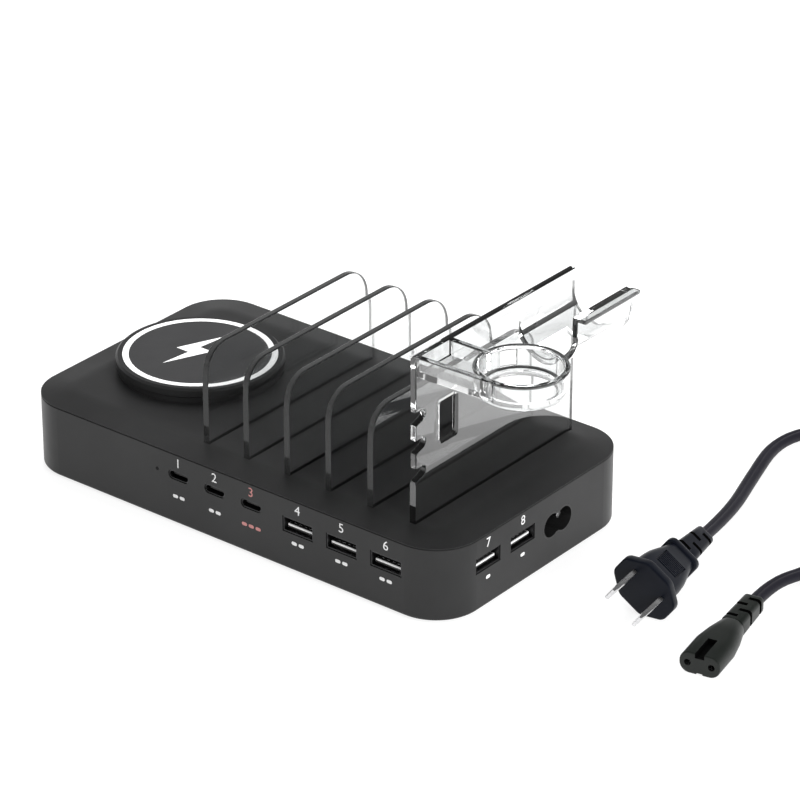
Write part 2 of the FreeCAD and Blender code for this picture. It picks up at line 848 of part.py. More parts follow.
def make_device_holder():
    plate = clear_plate("holder_top")
    inner = f"({DIVIDER_FRONT} + notch_depth)"
    for i in range(NOTCHES):
        low = f"(notch_first + {i} * notch_pitch)"
        notch = sketch(plate, "YZ_Plane", "divider_thick / 2")
        polygon(
            notch,
            [
                (f"{DIVIDER_FRONT} - notch_depth", f"{low} - notch_height / 2 - notch_rise"),
                (inner, f"{low} - notch_height / 2 + notch_rise"),
                (inner, f"{low} + notch_height / 2 + notch_rise"),
                (f"{DIVIDER_FRONT} - notch_depth", f"{low} + notch_height / 2 - notch_rise"),
            ],
        )
        pocket(plate, notch, "divider_thick")
    soften(plate, lambda b: near(b.YMin, inner) and near(b.YMax, inner) and b.ZLength < TINY, "notch_round")
    window = sketch(plate, "YZ_Plane", "divider_thick / 2")
    rectangle(window, WINDOW_FRONT, "window_low", WINDOW_BACK, "window_high")
    pocket(plate, window, "divider_thick")
    window_sides = (WINDOW_FRONT, WINDOW_BACK)
    soften(
        plate,
        lambda b: b.ZLength < TINY and b.YLength < TINY and any(near(b.YMin, side) for side in window_sides),
        "window_round",
    )
    soften(plate, corner_at(DIVIDER_FRONT, "holder_top"), "holder_corner")
    move(plate, HOLDER_X, "0", "0")
    arm_front = f"({RING_Y} - {RING_OUTER})"
    arm_wide = f"({ARM_BACK} - {arm_front})"
    arm_long = "ring_reach"
    solid = fuse(
        plate,
        box((arm_long, arm_wide, "arm_floor"), (HOLDER_FACE, arm_front, ARM_BOTTOM)),
        box((arm_long, "arm_wall", "arm_height"), (HOLDER_FACE, arm_front, ARM_BOTTOM)),
        box((arm_long, "arm_wall", "arm_height"), (HOLDER_FACE, f"{ARM_BACK} - arm_wall", ARM_BOTTOM)),
        make_ring_wall(),
        rod(CRADLE_OUTER, "cradle_long", (CRADLE_X, CRADLE_FRONT, CRADLE_MIDDLE), "Y"),
        box((CRADLE_OUTER, "cradle_long", "cradle_side"), (CRADLE_X, CRADLE_FRONT, CRADLE_MIDDLE)),
        box(
            ("cradle_wall + cradle_lip", "cradle_long", "cradle_lip_thick"),
            (f"{CRADLE_X} + cradle_width / 2", CRADLE_FRONT, "holder_top - cradle_lip_thick"),
        ),
    )
    ledge_top = f"({RING_BOTTOM} + ring_ledge_thick)"
    cable_slot = box(("2 * ring_bore", "ring_slot", "ring_height"), ("0", "0", ledge_top))
    cable_slot.Placement.Rotation = FreeCAD.Rotation(FreeCAD.Vector(0, 0, 1), value("ring_slot_angle"))
    bind(cable_slot, **{"Placement.Rotation.Angle": "ring_slot_angle"})
    move(
        cable_slot,
        f"{RING_X} + ring_slot / 2 * sin(ring_slot_angle)",
        f"{RING_Y} - ring_slot / 2 * cos(ring_slot_angle)",
        ledge_top,
    )
    keep(
        cut(
            solid,
            rod("ring_bore", "ring_height", (RING_X, RING_Y, ledge_top)),
            rod("ring_bore - ring_ledge", "ring_height", (RING_X, RING_Y, RING_BOTTOM)),
            cable_slot,
            rod("cradle_width / 2", "cradle_long", (CRADLE_X, CRADLE_FRONT, CRADLE_MIDDLE), "Y"),
            box(
                ("cradle_width", "cradle_long", "2 * cradle_side"),
                (HOLDER_FACE, CRADLE_FRONT, CRADLE_MIDDLE),
            ),
            box(
                ("cradle_hole_width", "cradle_hole_long", f"2 * {CRADLE_OUTER}"),
                (
                    f"{CRADLE_X} - cradle_hole_width / 2",
                    f"{CRADLE_FRONT} + cradle_hole_inset",
                    f"{CRADLE_MIDDLE} - 2 * {CRADLE_OUTER}",
                ),
            ),
        ),
        "device_holder",
    )


# Wireless puck


def make_puck():
    housing = body()
    profile = sketch(housing, "XZ_Plane")
    bore = "(collar_radius - collar_wall)"
    collar_end = "(top_height - collar_depth)"
    groove_low = "(top_height + puck_skirt)"
    groove_high = "(top_height + puck_skirt + puck_groove)"
    polygon(
        profile,
        [
            (bore, collar_end),
            ("collar_radius", collar_end),
            ("collar_radius", "top_height"),
            ("puck_radius - puck_skirt_inset", "top_height"),
            ("puck_radius - puck_skirt_inset", groove_low),
            ("puck_radius - puck_groove_depth", groove_low),
            ("puck_radius - puck_groove_depth", groove_high),
            ("puck_radius", groove_high),
            ("puck_radius", f"{PUCK_TOP} - puck_rim"),
            ("puck_radius - puck_rim", PUCK_TOP),
            (RECESS_RADIUS, PUCK_TOP),
            (RECESS_RADIUS, PAD_UNDER),
            (PUCK_CAVITY, PAD_UNDER),
            (PUCK_CAVITY, PUCK_FLOOR_TOP),
            (bore, PUCK_FLOOR_TOP),
        ],
    )
    revolve(housing, profile, "Z_Axis")
    move(housing, "puck_x", "0", "0")
    keep(housing, "puck_housing")
    centre = ("puck_x", "0", PAD_UNDER)
    keep(tube(f"{RECESS_RADIUS} - inlay_gap", LIGHT_INNER, "pad_thick", centre), "puck_ring")
    mark = make_bolt_mark()
    disc = rod(f"{LIGHT_INNER} - inlay_gap", "pad_thick", centre)
    keep(cut(disc, mark), "puck_pad")
    keep(mark, "bolt_mark")
    coil_under = f"{PAD_UNDER} - coil_thick"
    ferrite_under = f"{PAD_UNDER} - coil_thick - ferrite_thick"
    keep(tube("coil_radius", "coil_hole", "coil_thick", ("puck_x", "0", coil_under)), "charging_coil")
    keep(rod("ferrite_radius", "ferrite_thick", ("puck_x", "0", ferrite_under)), "ferrite_disc")
    board_tall = f"{ferrite_under} - {PUCK_FLOOR_TOP}"
    keep(rod(f"{PUCK_CAVITY} - collar_gap", board_tall, ("puck_x", "0", PUCK_FLOOR_TOP)), "coil_board")


def make_bolt_mark():
    """A plain zigzag charging sign, set flush into the middle of the pad."""
    mark = body()
    outline = sketch(mark, "XY_Plane")
    polygon(
        outline,
        [
            ("bolt_lean", "bolt_reach"),
            ("bolt_waist", "bolt_step"),
            ("bolt_half", "bolt_step"),
            ("-bolt_lean", "-bolt_reach"),
            ("-bolt_waist", "-bolt_step"),
            ("-bolt_half", "-bolt_step"),
        ],
    )
    pad(mark, outline, "bolt_deep")
    move(mark, "puck_x + bolt_x", "bolt_y", f"{PUCK_TOP} - bolt_deep")
    return mark


# Sockets


def make_usb_sockets():
    for number, (facing, along) in enumerate(usb_a_places(), start=1):
        level = USB_A_LEVEL
        outside = behind_face(facing, along, "usb_a_wide", "usb_a_tall", "usb_a_deep", "port_recess", level)
        inner_wide, inner_tall = "(usb_a_wide - 2 * usb_a_wall)", "(usb_a_tall - 2 * usb_a_wall)"
        inner_deep = "(usb_a_deep - usb_a_wall)"
        inside = behind_face(facing, along, inner_wide, inner_tall, inner_deep, "port_recess", level)
        keep(cut(outside, inside), f"usb_a_shell_{number}")
        lowered = f"({level} - tongue_drop)"
        tongue_deep = f"({inner_deep} - tongue_back)"
        start = "port_recess + tongue_back"
        blade = behind_face(facing, along, "tongue_wide", "tongue_tall", tongue_deep, start, lowered)
        block_start = f"port_recess + {inner_deep} - tongue_block"
        block = behind_face(facing, along, inner_wide, inner_tall, "tongue_block", block_start, level)
        keep(fuse(blade, block), f"usb_a_tongue_{number}")
    for i in range(USB_C):
        x, level = usb_c_x(i), USB_C_LEVEL
        inner_wide, inner_tall = "(usb_c_wide - 2 * usb_c_wall)", "(usb_c_tall - 2 * usb_c_wall)"
        inner_deep = "(usb_c_deep - usb_c_wall)"
        outside = oblong(x, "usb_c_wide", "usb_c_tall", "usb_c_deep", "port_recess", level)
        inside = oblong(x, inner_wide, inner_tall, inner_deep, "port_recess", level)
        leg_tall = f"({level} - {PORT_BOARD_TOP})"
        legs = [
            box(
                ("usb_c_leg", "usb_c_leg", leg_tall),
                (
                    f"{x} + {side} * (usb_c_wide - usb_c_tall) / 2 - usb_c_leg / 2",
                    f"{FACE_Y} + port_recess + usb_c_deep - usb_c_leg",
                    PORT_BOARD_TOP,
                ),
            )
            for side in (-1, 1)
        ]
        keep(cut(fuse(outside, *legs), inside), f"usb_c_shell_{i + 1}")
        blade_deep = f"({inner_deep} - tongue_back)"
        start = "port_recess + tongue_back"
        blade = behind_face("front", x, "usb_c_tongue_wide", "usb_c_tongue_tall", blade_deep, start, level)
        block_deep = "tongue_block / 2"
        block_start = f"port_recess + {inner_deep} - {block_deep}"
        block = oblong(x, inner_wide, inner_tall, block_deep, block_start, level)
        keep(fuse(blade, block), f"usb_c_tongue_{i + 1}")


def make_status_light():
    pipe = rod("light_radius", "light_deep", (LIGHT_X, FACE_Y, LIGHT_LEVEL), "Y")
    foot = box(
        ("2 * light_radius", "2 * light_radius", f"{LIGHT_LEVEL} - {PORT_BOARD_TOP}"),
        (f"{LIGHT_X} - light_radius", f"{FACE_Y} + light_deep - 2 * light_radius", PORT_BOARD_TOP),
    )
    keep(fuse(pipe, foot), "status_light")


def make_mains_inlet():
    block = box(
        ("inlet_block_deep", "inlet_block_wide", "inlet_block_tall"),
        (INLET_BACK, f"{INLET_Y} - inlet_block_wide / 2", f"{INLET_LEVEL} - inlet_block_tall / 2"),
    )
    nose = figure_eight("inlet_lobe + inlet_rim", "wall", f"{FACE_X} - wall")
    cavity = figure_eight("inlet_lobe", "inlet_deep + wall", f"{FACE_X} - inlet_deep")
    pins, holes = [], []
    for side in (-1, 1):
        y = f"({INLET_Y} + {side} * inlet_pin_half_pitch)"
        long = f"({FACE_X} - inlet_pin_recess - {INLET_TAG})"
        pin = rod("inlet_pin_radius", long, (INLET_TAG, y, INLET_LEVEL), "X")
        tag = box(
            ("inlet_pin_radius", "2 * inlet_pin_radius", f"{INLET_LEVEL} - {BOARD_TOP}"),
            (INLET_TAG, f"{y} - inlet_pin_radius", BOARD_TOP),
        )
        pins.append(fuse(pin, tag))
        holes.append(rod("inlet_pin_radius + inlay_gap", long, (INLET_TAG, y, INLET_LEVEL), "X"))
    keep(cut(fuse(block, nose), cavity, *holes), "inlet_socket")
    keep(group(*pins), "inlet_pins")


# Circuit boards and the power supply


def make_boards():
    tall = f"({BOARD_TOP} - board_thick)"
    plate = box(
        (f"2 * {BOARD_END}", f"{BOARD_BACK} - {BOARD_FRONT}", "board_thick"),
        (f"-{BOARD_END}", BOARD_FRONT, tall),
    )
    gap = "board_screw_radius + screw_gap"
    holes = [rod(gap, "board_thick", (x, y, tall)) for x, y in board_screw_places()]
    keep(cut(plate, *holes), "main_board")
    strip_front = f"({FACE_Y} + port_board_edge)"
    right = f"({FACE_X} - port_board_edge)"
    arm_left = f"({FACE_X} - port_board_arm_inset)"
    arm_back = f"({INLET_Y} - inlet_block_wide / 2 - port_board_arm_gap)"
    strip = box(
        (f"{right} - {PORT_BOARD_LEFT}", f"{PORT_BOARD_BACK} - {strip_front}", "board_thick"),
        (PORT_BOARD_LEFT, strip_front, PORT_BOARD_UNDER),
    )
    arm = box(
        (f"{right} - {arm_left}", f"{arm_back} - {strip_front}", "board_thick"),
        (arm_left, strip_front, PORT_BOARD_UNDER),
    )
    corner = slab(
        "base_length - 2 * port_board_edge",
        "base_width - 2 * port_board_edge",
        "corner_radius - port_board_edge",
        PORT_BOARD_UNDER,
        "board_thick",
    )
    rounded = doc.addObject("Part::MultiCommon", "rounded")
    rounded.Shapes = [fuse(strip, arm), corner]
    holes = [rod(gap, "board_thick", (x, y, PORT_BOARD_UNDER)) for x, y in port_screw_places()]
    keep(cut(rounded, *holes), "port_board")
    levels = [(place, BOARD_TOP) for place in board_screw_places()]
    levels += [(place, PORT_BOARD_TOP) for place in port_screw_places()]
    screws = []
    for (x, y), level in levels:
        head = rod("board_screw_head_radius", "board_screw_head", (x, y, level))
        reach = "(board_thick + board_screw_reach)"
        screws.append(fuse(head, rod("board_screw_radius", reach, (x, y, f"{level} - {reach}"))))
    keep(group(*screws), "board_screws")


def make_port_ribbon():
    """The flat jumper that carries power from the main board up to the socket board."""
    owner = body()
    middle = f"({front_usb_a_x(0)} - port_screw_side - ribbon_side)"
    profile = sketch(owner, "YZ_Plane", f"{middle} - ribbon_wide / 2")
    foot_back = f"({BOARD_FRONT} + ribbon_foot)"
    riser_back = f"({BOARD_FRONT} - ribbon_gap)"
    riser_front = f"({BOARD_FRONT} - ribbon_gap - ribbon_thick)"
    lap = f"({PORT_BOARD_BACK} - ribbon_lap)"
    polygon(
        profile,
        [
            (foot_back, BOARD_TOP),
            (foot_back, f"{BOARD_TOP} + ribbon_thick"),
            (riser_back, f"{BOARD_TOP} + ribbon_thick"),
            (riser_back, PORT_BOARD_UNDER),
            (lap, PORT_BOARD_UNDER),
            (lap, f"{PORT_BOARD_UNDER} - ribbon_thick"),
            (riser_front, f"{PORT_BOARD_UNDER} - ribbon_thick"),
            (riser_front, BOARD_TOP),
        ],
    )
    pad(owner, profile, "ribbon_wide")
    keep(owner, "port_ribbon")


def make_power_supply():
    core_x, core_y = "(divider_first_x - core_reach)", f"({BOARD_BACK} - core_back)"
    core_tall = f"({COVER_UNDERSIDE} - core_clear - {BOARD_TOP})"
    capacitor_tall = f"({COVER_UNDERSIDE} - capacitor_clear - {BOARD_TOP})"
    sink_tall = f"({WELL_BOTTOM} - sink_clear - {BOARD_TOP})"
    core = box(
        ("core_long", "core_deep", core_tall),
        (f"{core_x} - core_long / 2", f"{core_y} - core_deep / 2", BOARD_TOP),
    )
    window_wide = "(core_long - 2 * core_leg - core_middle_leg) / 2"
    window_tall = f"({core_tall} - 2 * core_yoke)"
    windows = [
        box(
            (window_wide, "core_deep", window_tall),
            (start, f"{core_y} - core_deep / 2", f"{BOARD_TOP} + core_yoke"),
        )
        for start in (f"{core_x} - core_long / 2 + core_leg", f"{core_x} + core_middle_leg / 2")
    ]
    keep(cut(core, *windows), "transformer_core")
    wound_wide = f"core_middle_leg + 2 * {window_wide} - 2 * winding_gap"
    middle = (core_x, core_y, f"{BOARD_TOP} + {core_tall} / 2")
    wound = centred_box((wound_wide, "winding_deep", f"{window_tall} - winding_gap"), middle)
    leg = centred_box(("core_middle_leg + winding_gap", "core_deep + winding_gap", core_tall), middle)
    keep(cut(wound, leg), "transformer_winding")
    for i in range(CAPACITORS):
        x = f"divider_first_x - capacitor_reach + {i} * capacitor_pitch"
        place = (x, f"{BOARD_FRONT} + capacitor_front", BOARD_TOP)
        keep(rod("capacitor_radius", capacitor_tall, place), f"bulk_capacitor_{i + 1}")
    choke = doc.addObject("Part::Torus", "choke")
    bind(choke, Radius1="choke_ring", Radius2="choke_thick")
    move(choke, f"{BOARD_END} - choke_inset", f"{BOARD_BACK} - choke_back", f"{BOARD_TOP} + choke_thick")
    keep(choke, "choke")
    sink_y = f"({BOARD_BACK} - sink_back)"
    fin_pitch = f"(sink_long - sink_fin) / {SINK_FINS - 1}"
    fins = [
        box(
            ("sink_fin", "sink_fin_reach", sink_tall),
            (f"sink_x - sink_long / 2 + {i} * {fin_pitch}", f"{sink_y} + sink_plate", BOARD_TOP),
        )
        for i in range(SINK_FINS)
    ]
    plate = box(("sink_long", "sink_plate", sink_tall), ("sink_x - sink_long / 2", sink_y, BOARD_TOP))
    keep(fuse(plate, *fins), "heat_sink")


# Cords


def vector(x, y, z):
    return FreeCAD.Vector(x, y, z)


def unit(v):
    return FreeCAD.Vector(v).normalize()


def cord_path(points, label):
    """Straight runs joined by tangent arcs, each as large as its two runs allow."""
    share = 0.45
    edges, radii, last = [], [], points[0]
    for before, point, after in zip(points, points[1:], points[2:]):
        arriving, leaving = unit(point - before), unit(after - point)
        half_turn = arriving.getAngle(leaving) / 2
        reach = share * min((point - before).Length, (after - point).Length)
        radius = reach / math.tan(half_turn)
        radii.append(radius)
        start, end = point - arriving * reach, point + leaving * reach
        inward = unit(leaving - arriving)
        middle = point + inward * (radius / math.cos(half_turn) - radius)
        edges.append(Part.LineSegment(last, start).toShape())
        edges.append(Part.Arc(start, middle, end).toShape())
        last = end
    edges.append(Part.LineSegment(last, points[-1]).toShape())
    print(label, "bend radii", [round(radius, 1) for radius in radii])
    return Part.Wire(edges)


def sweep(path, radius, label):
    """A round tube along a path, with its volume set against its section and length."""
    first = path.Edges[0]
    start = first.valueAt(first.FirstParameter)
    section = Part.Wire(Part.Circle(start, first.tangentAt(first.FirstParameter), radius).toShape())
    solid = path.makePipeShell([section], True, False)
    share = solid.Volume / (math.pi * radius**2 * path.Length)
    print(label, "length", round(path.Length, 1), "volume against section times length", round(share, 4))
    made = doc.addObject("Part::Feature", label)
    made.Shape = solid
    return keep(made, label)


def arc_about(start, corner, end):
    """The arc that leaves start towards corner and reaches end from it."""
    chord = (end - start).Length / 2
    middle = (start + end) / 2
    rise = corner - middle
    sag = chord * math.tan(math.atan2(rise.Length, chord) / 2)
    return Part.Arc(start, middle + unit(rise) * sag, end).toShape()


def biarc(start, leaving, end, arriving):
    """Two tangent arcs from one point and direction to another."""
    span, both = end - start, leaving + arriving
    fall = 2 * (1 - leaving.dot(arriving))
    along = span.dot(both)
    reach = (-along + math.sqrt(along**2 + fall * span.dot(span))) / fall
    first, second = start + leaving * reach, end - arriving * reach
    join = (first + second) / 2
    return [arc_about(start, first, join), arc_about(join, second, end)]


def coil_path(centre, low):
    """A coil that spirals in on its lower layer and out again on its upper one, with straight ends."""
    turns, pitch = value("coil_turns"), value("coil_pitch")
    outer, wide = value("coil_outer"), value("cord_width")
    whole, half = 2 * math.pi * turns, math.pi * turns
    climb_start, quarter = half - math.pi / 2, math.pi / 2
    north = vector(0, 1, 0)

    def place(angle):
        radius = outer - pitch * min(angle, whole - angle) / (2 * math.pi)
        climbed = min(max((angle - climb_start) / math.pi, 0), 1)
        height = low + pitch * (1 - math.cos(math.pi * climbed)) / 2
        turned = math.pi - angle
        return centre + vector(radius * math.cos(turned), radius * math.sin(turned), height)

    def heading(angle):
        if angle < TINY or angle > whole - TINY:
            return north
        step = 0.001
        return unit(place(angle + step) - place(angle - step))

    start, end = place(0), place(whole)
    edges = [Part.LineSegment(start - north * wide, start).toShape()]
    for i in range(round(whole / quarter)):
        a, b = i * quarter, (i + 1) * quarter
        edges += biarc(place(a), heading(a), place(b), heading(b))
    edges.append(Part.LineSegment(end, end + north * wide).toShape())
    return Part.Wire(edges), start - north * wide, end + north * wide


def least_gap(path, wide):
    """The least free gap between a tube's turns, measured on points along its middle."""
    spacing = wide / 4
    points = path.discretize(Distance=spacing)
    apart = round(3 * wide / spacing)
    gaps = [
        (points[i] - points[j]).Length
        for i in range(len(points))
        for j in range(i + apart, len(points))
    ]
    return min(gaps) - wide


def plug_frame():
    yaw = FreeCAD.Rotation(vector(0, 0, 1), value("plug_yaw"))
    tilt = FreeCAD.Rotation(vector(1, 0, 0), -value("plug_tilt"))
    roll = FreeCAD.Rotation(vector(0, 1, 0), value("plug_roll"))
    facet = "((flange_wide / 2 - flange_bevel) * sin(plug_roll) + flange_tall / 2 * cos(plug_roll))"
    height = value(f"flange_thick * sin(plug_tilt) + {facet} * cos(plug_tilt)")
    return FreeCAD.Placement(vector(value("plug_x"), value("plug_y"), height), yaw * tilt * roll)


def connector_frame():
    yaw = FreeCAD.Rotation(vector(0, 0, 1), value("connector_yaw"))
    place = vector(value("connector_x"), value("connector_y"), value("connector_tall / 2"))
    return FreeCAD.Placement(place, yaw)


def make_coil_lead():
    """The short lead from the coil board down to the main board, inside the casing."""
    x = value("puck_x")
    top, bottom = value(PUCK_FLOOR_TOP), value(BOARD_TOP)
    drop, rise = value("coil_lead_drop"), value("coil_lead_rise")
    landing = value(f"coil_lead_inset - {BOARD_END}")
    points = [
        vector(x, 0, top),
        vector(x, 0, top - drop),
        vector(landing, 0, bottom + rise),
        vector(landing, 0, bottom),
    ]
    sweep(cord_path(points, "coil_lead"), value("coil_lead_radius"), "coil_lead")


def make_cord():
    """The free lengths of the mains lead, with the spare length coiled and tied."""
    wide = value("cord_width")
    floor = wide / 2
    lifted = floor + value("tie_thick + tie_gap")
    outlet = connector_frame()
    exit_at = outlet.multVec(vector(0, value("connector_nose + connector_taper + connector_boot_long"), 0))
    ahead = outlet.Rotation.multVec(vector(0, 1, 0))
    centre = vector(value("coil_side_x + coil_outer"), value("coil_y"), 0)
    coil, coil_start, coil_end = coil_path(centre, lifted)
    run_in = coil_start - vector(0, value("coil_run_in"), 0)
    connector_points = [exit_at, exit_at + ahead * value("connector_run"), run_in, coil_start]
    sweep(cord_path(connector_points, "cord_connector_run"), floor, "cord_connector_run")
    sweep(coil, floor, "cord_coil")
    print("cord_coil least gap between turns", round(least_gap(coil, wide), 2))
    plug = plug_frame()
    boot_end = value("flange_thick + grip_long + collar_long + plug_boot_long")
    plug_exit = plug.multVec(vector(0, boot_end, 0))
    plug_ahead = plug.Rotation.multVec(vector(0, 1, 0))
    plug_points = [
        coil_end,
        coil_end + vector(0, value("coil_run_out"), 0),
        vector(*CORD_DESCENT, (coil_end.z + floor) / 2),
        *(vector(*point, floor) for point in CORD_BEND),
        plug_exit + plug_ahead * value("plug_run"),
        plug_exit,
    ]
    sweep(cord_path(plug_points, "cord_plug_run"), floor, "cord_plug_run")
    make_cord_tie(centre)


def make_cord_tie(centre):
    """A strap round the coil's far side, inside a rectangle of the turns that pass there."""
    wide, pitch, turns = value("cord_width"), value("coil_pitch"), value("coil_turns")
    gap, thick, across = value("tie_gap"), value("tie_thick"), value("tie_wide")
    outer = value("coil_outer") - pitch / 2 + wide / 2 + gap
    least = value("coil_outer") - pitch * turns / 2 - wide / 2
    inner = math.sqrt(least**2 - (across / 2) ** 2) - gap
    tall = pitch + wide + 2 * gap
    place = centre + vector(inner - thick, -across / 2, 0)
    outside = Part.makeBox(outer - inner + 2 * thick, across, tall + 2 * thick, place)
    inside = Part.makeBox(outer - inner, across, tall, place + vector(thick, 0, thick))
    made = doc.addObject("Part::Feature", "cord_tie")
    made.Shape = outside.cut(inside)
    keep(made, "cord_tie")


# End fittings of the mains lead, drawn along +Y from their front face


def boot(wide, tall, long, start):
    """A strain relief that tapers towards the cord, slit from its two sides in turn so that it bends."""
    owner = body()
    front = level_sketch(owner, start)
    back = level_sketch(owner, f"{start} + {long}")
    rounded_rectangle(front, wide, tall, "boot_round")
    rounded_rectangle(back, "boot_end_wide", "boot_end_tall", "boot_round")
    loft(owner, front, back)
    slits = sketch(owner, "XY_Plane")
    for i in range(BOOT_SLITS):
        middle = f"({start} + {i + 1} * {long} / {BOOT_SLITS + 1})"
        side = 1 if i % 2 else -1
        inner, outer = f"{side} * boot_core / 2", f"{side} * {wide}"
        rectangle(slits, inner, f"{middle} - boot_slit / 2", outer, f"{middle} + boot_slit / 2")
    opened = pocket(owner, slits, f"2 * {tall}")
    opened.Midplane = True
    return owner


def level_sketch(owner, distance):
    """A sketch across the fitting, this far behind its front face."""
    return sketch(owner, "XZ_Plane", f"-({distance})")


def make_plug():
    frame = plug_frame()
    owner = body()
    face = level_sketch(owner, "0")
    half_wide, half_tall = "flange_wide / 2", "flange_tall / 2"
    flat, side = f"({half_wide} - flange_bevel)", f"({half_tall} - flange_bevel * tan(plug_roll))"
    right = [(flat, f"-{half_tall}"), (half_wide, f"-{side}"), (half_wide, side), (flat, half_tall)]
    left = [(f"-({x})", z) for x, z in reversed(right)]
    polygon(face, right + left)
    pad(owner, face, "flange_thick", reverse=True)
    grip_front = level_sketch(owner, "flange_thick")
    grip_back = level_sketch(owner, "flange_thick + grip_long")
    rounded_rectangle(grip_front, "grip_front_wide", "grip_front_tall", "grip_round")
    rounded_rectangle(grip_back, "grip_back_wide", "grip_back_tall", "grip_round")
    loft(owner, grip_front, grip_back)
    ring = level_sketch(owner, "flange_thick + grip_long")
    rounded_rectangle(ring, "plug_collar_wide", "plug_collar_tall", "grip_round")
    pad(owner, ring, "collar_long", reverse=True)
    ribs = sketch(owner, "XY_Plane")
    for i in range(GRIP_RIBS):
        middle = f"(flange_thick + grip_long / 2 + {i - (GRIP_RIBS - 1) / 2} * rib_pitch)"
        low, high = f"{middle} - rib_thick / 2", f"{middle} + rib_thick / 2"
        rectangle(ribs, "-rib_long / 2", low, "rib_long / 2", high)
    raised = pad(owner, ribs, "(grip_front_tall + grip_back_tall) / 2 + 2 * rib_proud")
    raised.Midplane = True
    for side in (-1, 1):
        hole = level_sketch(owner, "0")
        middle = f"({side} * blade_pitch / 2)"
        half_thick, half_blade = "(blade_thick / 2 + blade_gap)", "(blade_wide / 2 + blade_gap)"
        rectangle(hole, f"{middle} - {half_thick}", f"-{half_blade}", f"{middle} + {half_thick}", half_blade)
        pocket(owner, hole, "blade_root")
    owner.Placement = frame
    keep(owner, "plug_body")
    blades = []
    for side in (-1, 1):
        blade = doc.addObject("Part::Box", "blade")
        bind(blade, Length="blade_thick", Width="blade_long + blade_root", Height="blade_wide")
        left = value(f"{side} * blade_pitch / 2 - blade_thick / 2")
        corner = vector(left, value("-blade_long"), value("-blade_wide / 2"))
        blade.Placement = frame.multiply(FreeCAD.Placement(corner, FreeCAD.Rotation()))
        blades.append(blade)
    keep(group(*blades), "plug_blades")
    boot_start = "(flange_thick + grip_long + collar_long)"
    relief = boot("plug_boot_wide", "plug_boot_tall", "plug_boot_long", boot_start)
    relief.Placement = frame
    keep(relief, "plug_boot")


def make_connector():
    frame = connector_frame()
    owner = body()
    face = level_sketch(owner, "0")
    round_end = "(connector_tall / 2 - inlay_gap)"
    rounded_rectangle(face, "connector_wide", "connector_tall", round_end)
    pad(owner, face, "connector_nose", reverse=True)
    front = level_sketch(owner, "connector_nose")
    rounded_rectangle(front, "connector_wide", "connector_tall", round_end)
    back = level_sketch(owner, "connector_nose + connector_taper")
    neck_round = "(connector_neck_tall / 2 - inlay_gap)"
    rounded_rectangle(back, "connector_neck_wide", "connector_neck_tall", neck_round)
    loft(owner, front, back)
    groove = level_sketch(owner, "0")
    for low in ("connector_tall / 2 - connector_groove_deep", "-connector_tall / 2 - connector_groove_deep"):
        half = "connector_groove_wide / 2"
        rectangle(groove, f"-{half}", low, half, f"{low} + 2 * connector_groove_deep")
    pocket(owner, groove, "connector_groove_long")
    for side in (-1, 1):
        hole = level_sketch(owner, "0")
        radius = "(sleeve_radius + sleeve_gap)"
        centre = vector(value(f"{side} * inlet_pin_half_pitch"), 0, 0)
        hole.addGeometry(Part.Circle(centre, vector(0, 0, 1), value(radius)))
        fix_point(hole, 0, 3, f"{side} * inlet_pin_half_pitch", "0")
        fix_radius(hole, 0, radius)
        pocket(owner, hole, "sleeve_deep")
    owner.Placement = frame
    keep(owner, "connector_body")
    sleeves = []
    for side in (-1, 1):
        sleeve = body()
        ring = level_sketch(sleeve, "sleeve_wall")
        centre = vector(value(f"{side} * inlet_pin_half_pitch"), 0, 0)
        for geometry, radius in enumerate(("sleeve_radius", "sleeve_radius - sleeve_wall")):
            ring.addGeometry(Part.Circle(centre, vector(0, 0, 1), value(radius)))
            fix_point(ring, geometry, 3, f"{side} * inlet_pin_half_pitch", "0")
            fix_radius(ring, geometry, radius)
        pad(sleeve, ring, "sleeve_deep - sleeve_wall", reverse=True)
        sleeve.Placement = frame
        sleeves.append(sleeve)
    keep(group(*sleeves), "connector_sleeves")
    boot_start = "(connector_nose + connector_taper)"
    relief = boot("connector_boot_wide", "connector_boot_tall", "connector_boot_long", boot_start)
    relief.Placement = frame
    keep(relief, "connector_boot")


def write_parts():
    doc.recompute()
    for thing in doc.Objects:
        if any(word in thing.State for word in ("Invalid", "Error")):
            raise RuntimeError(f"{thing.Name} ({thing.Label}) is {thing.State}")
    for part in subparts:
        if part.Shape.isNull() or not part.Shape.isValid() or not part.Shape.Solids:
            raise RuntimeError(f"{part.Label} has no sound solid")
    os.makedirs("parts", exist_ok=True)
    for part in subparts:
        part.Shape.exportStep(f"parts/{part.Label}.step")
    print(len(subparts), "sub-parts written")


make_base_tray()
make_top_cover()
make_feet_and_screws()
make_dividers()
make_device_holder()
make_puck()
make_usb_sockets()
make_status_light()
make_mains_inlet()
make_boards()
make_port_ribbon()
make_power_supply()
make_coil_lead()
make_plug()
make_connector()
make_cord()
write_parts()
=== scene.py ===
import json
import math

import bmesh
import bpy
from mathutils import Matrix, Vector


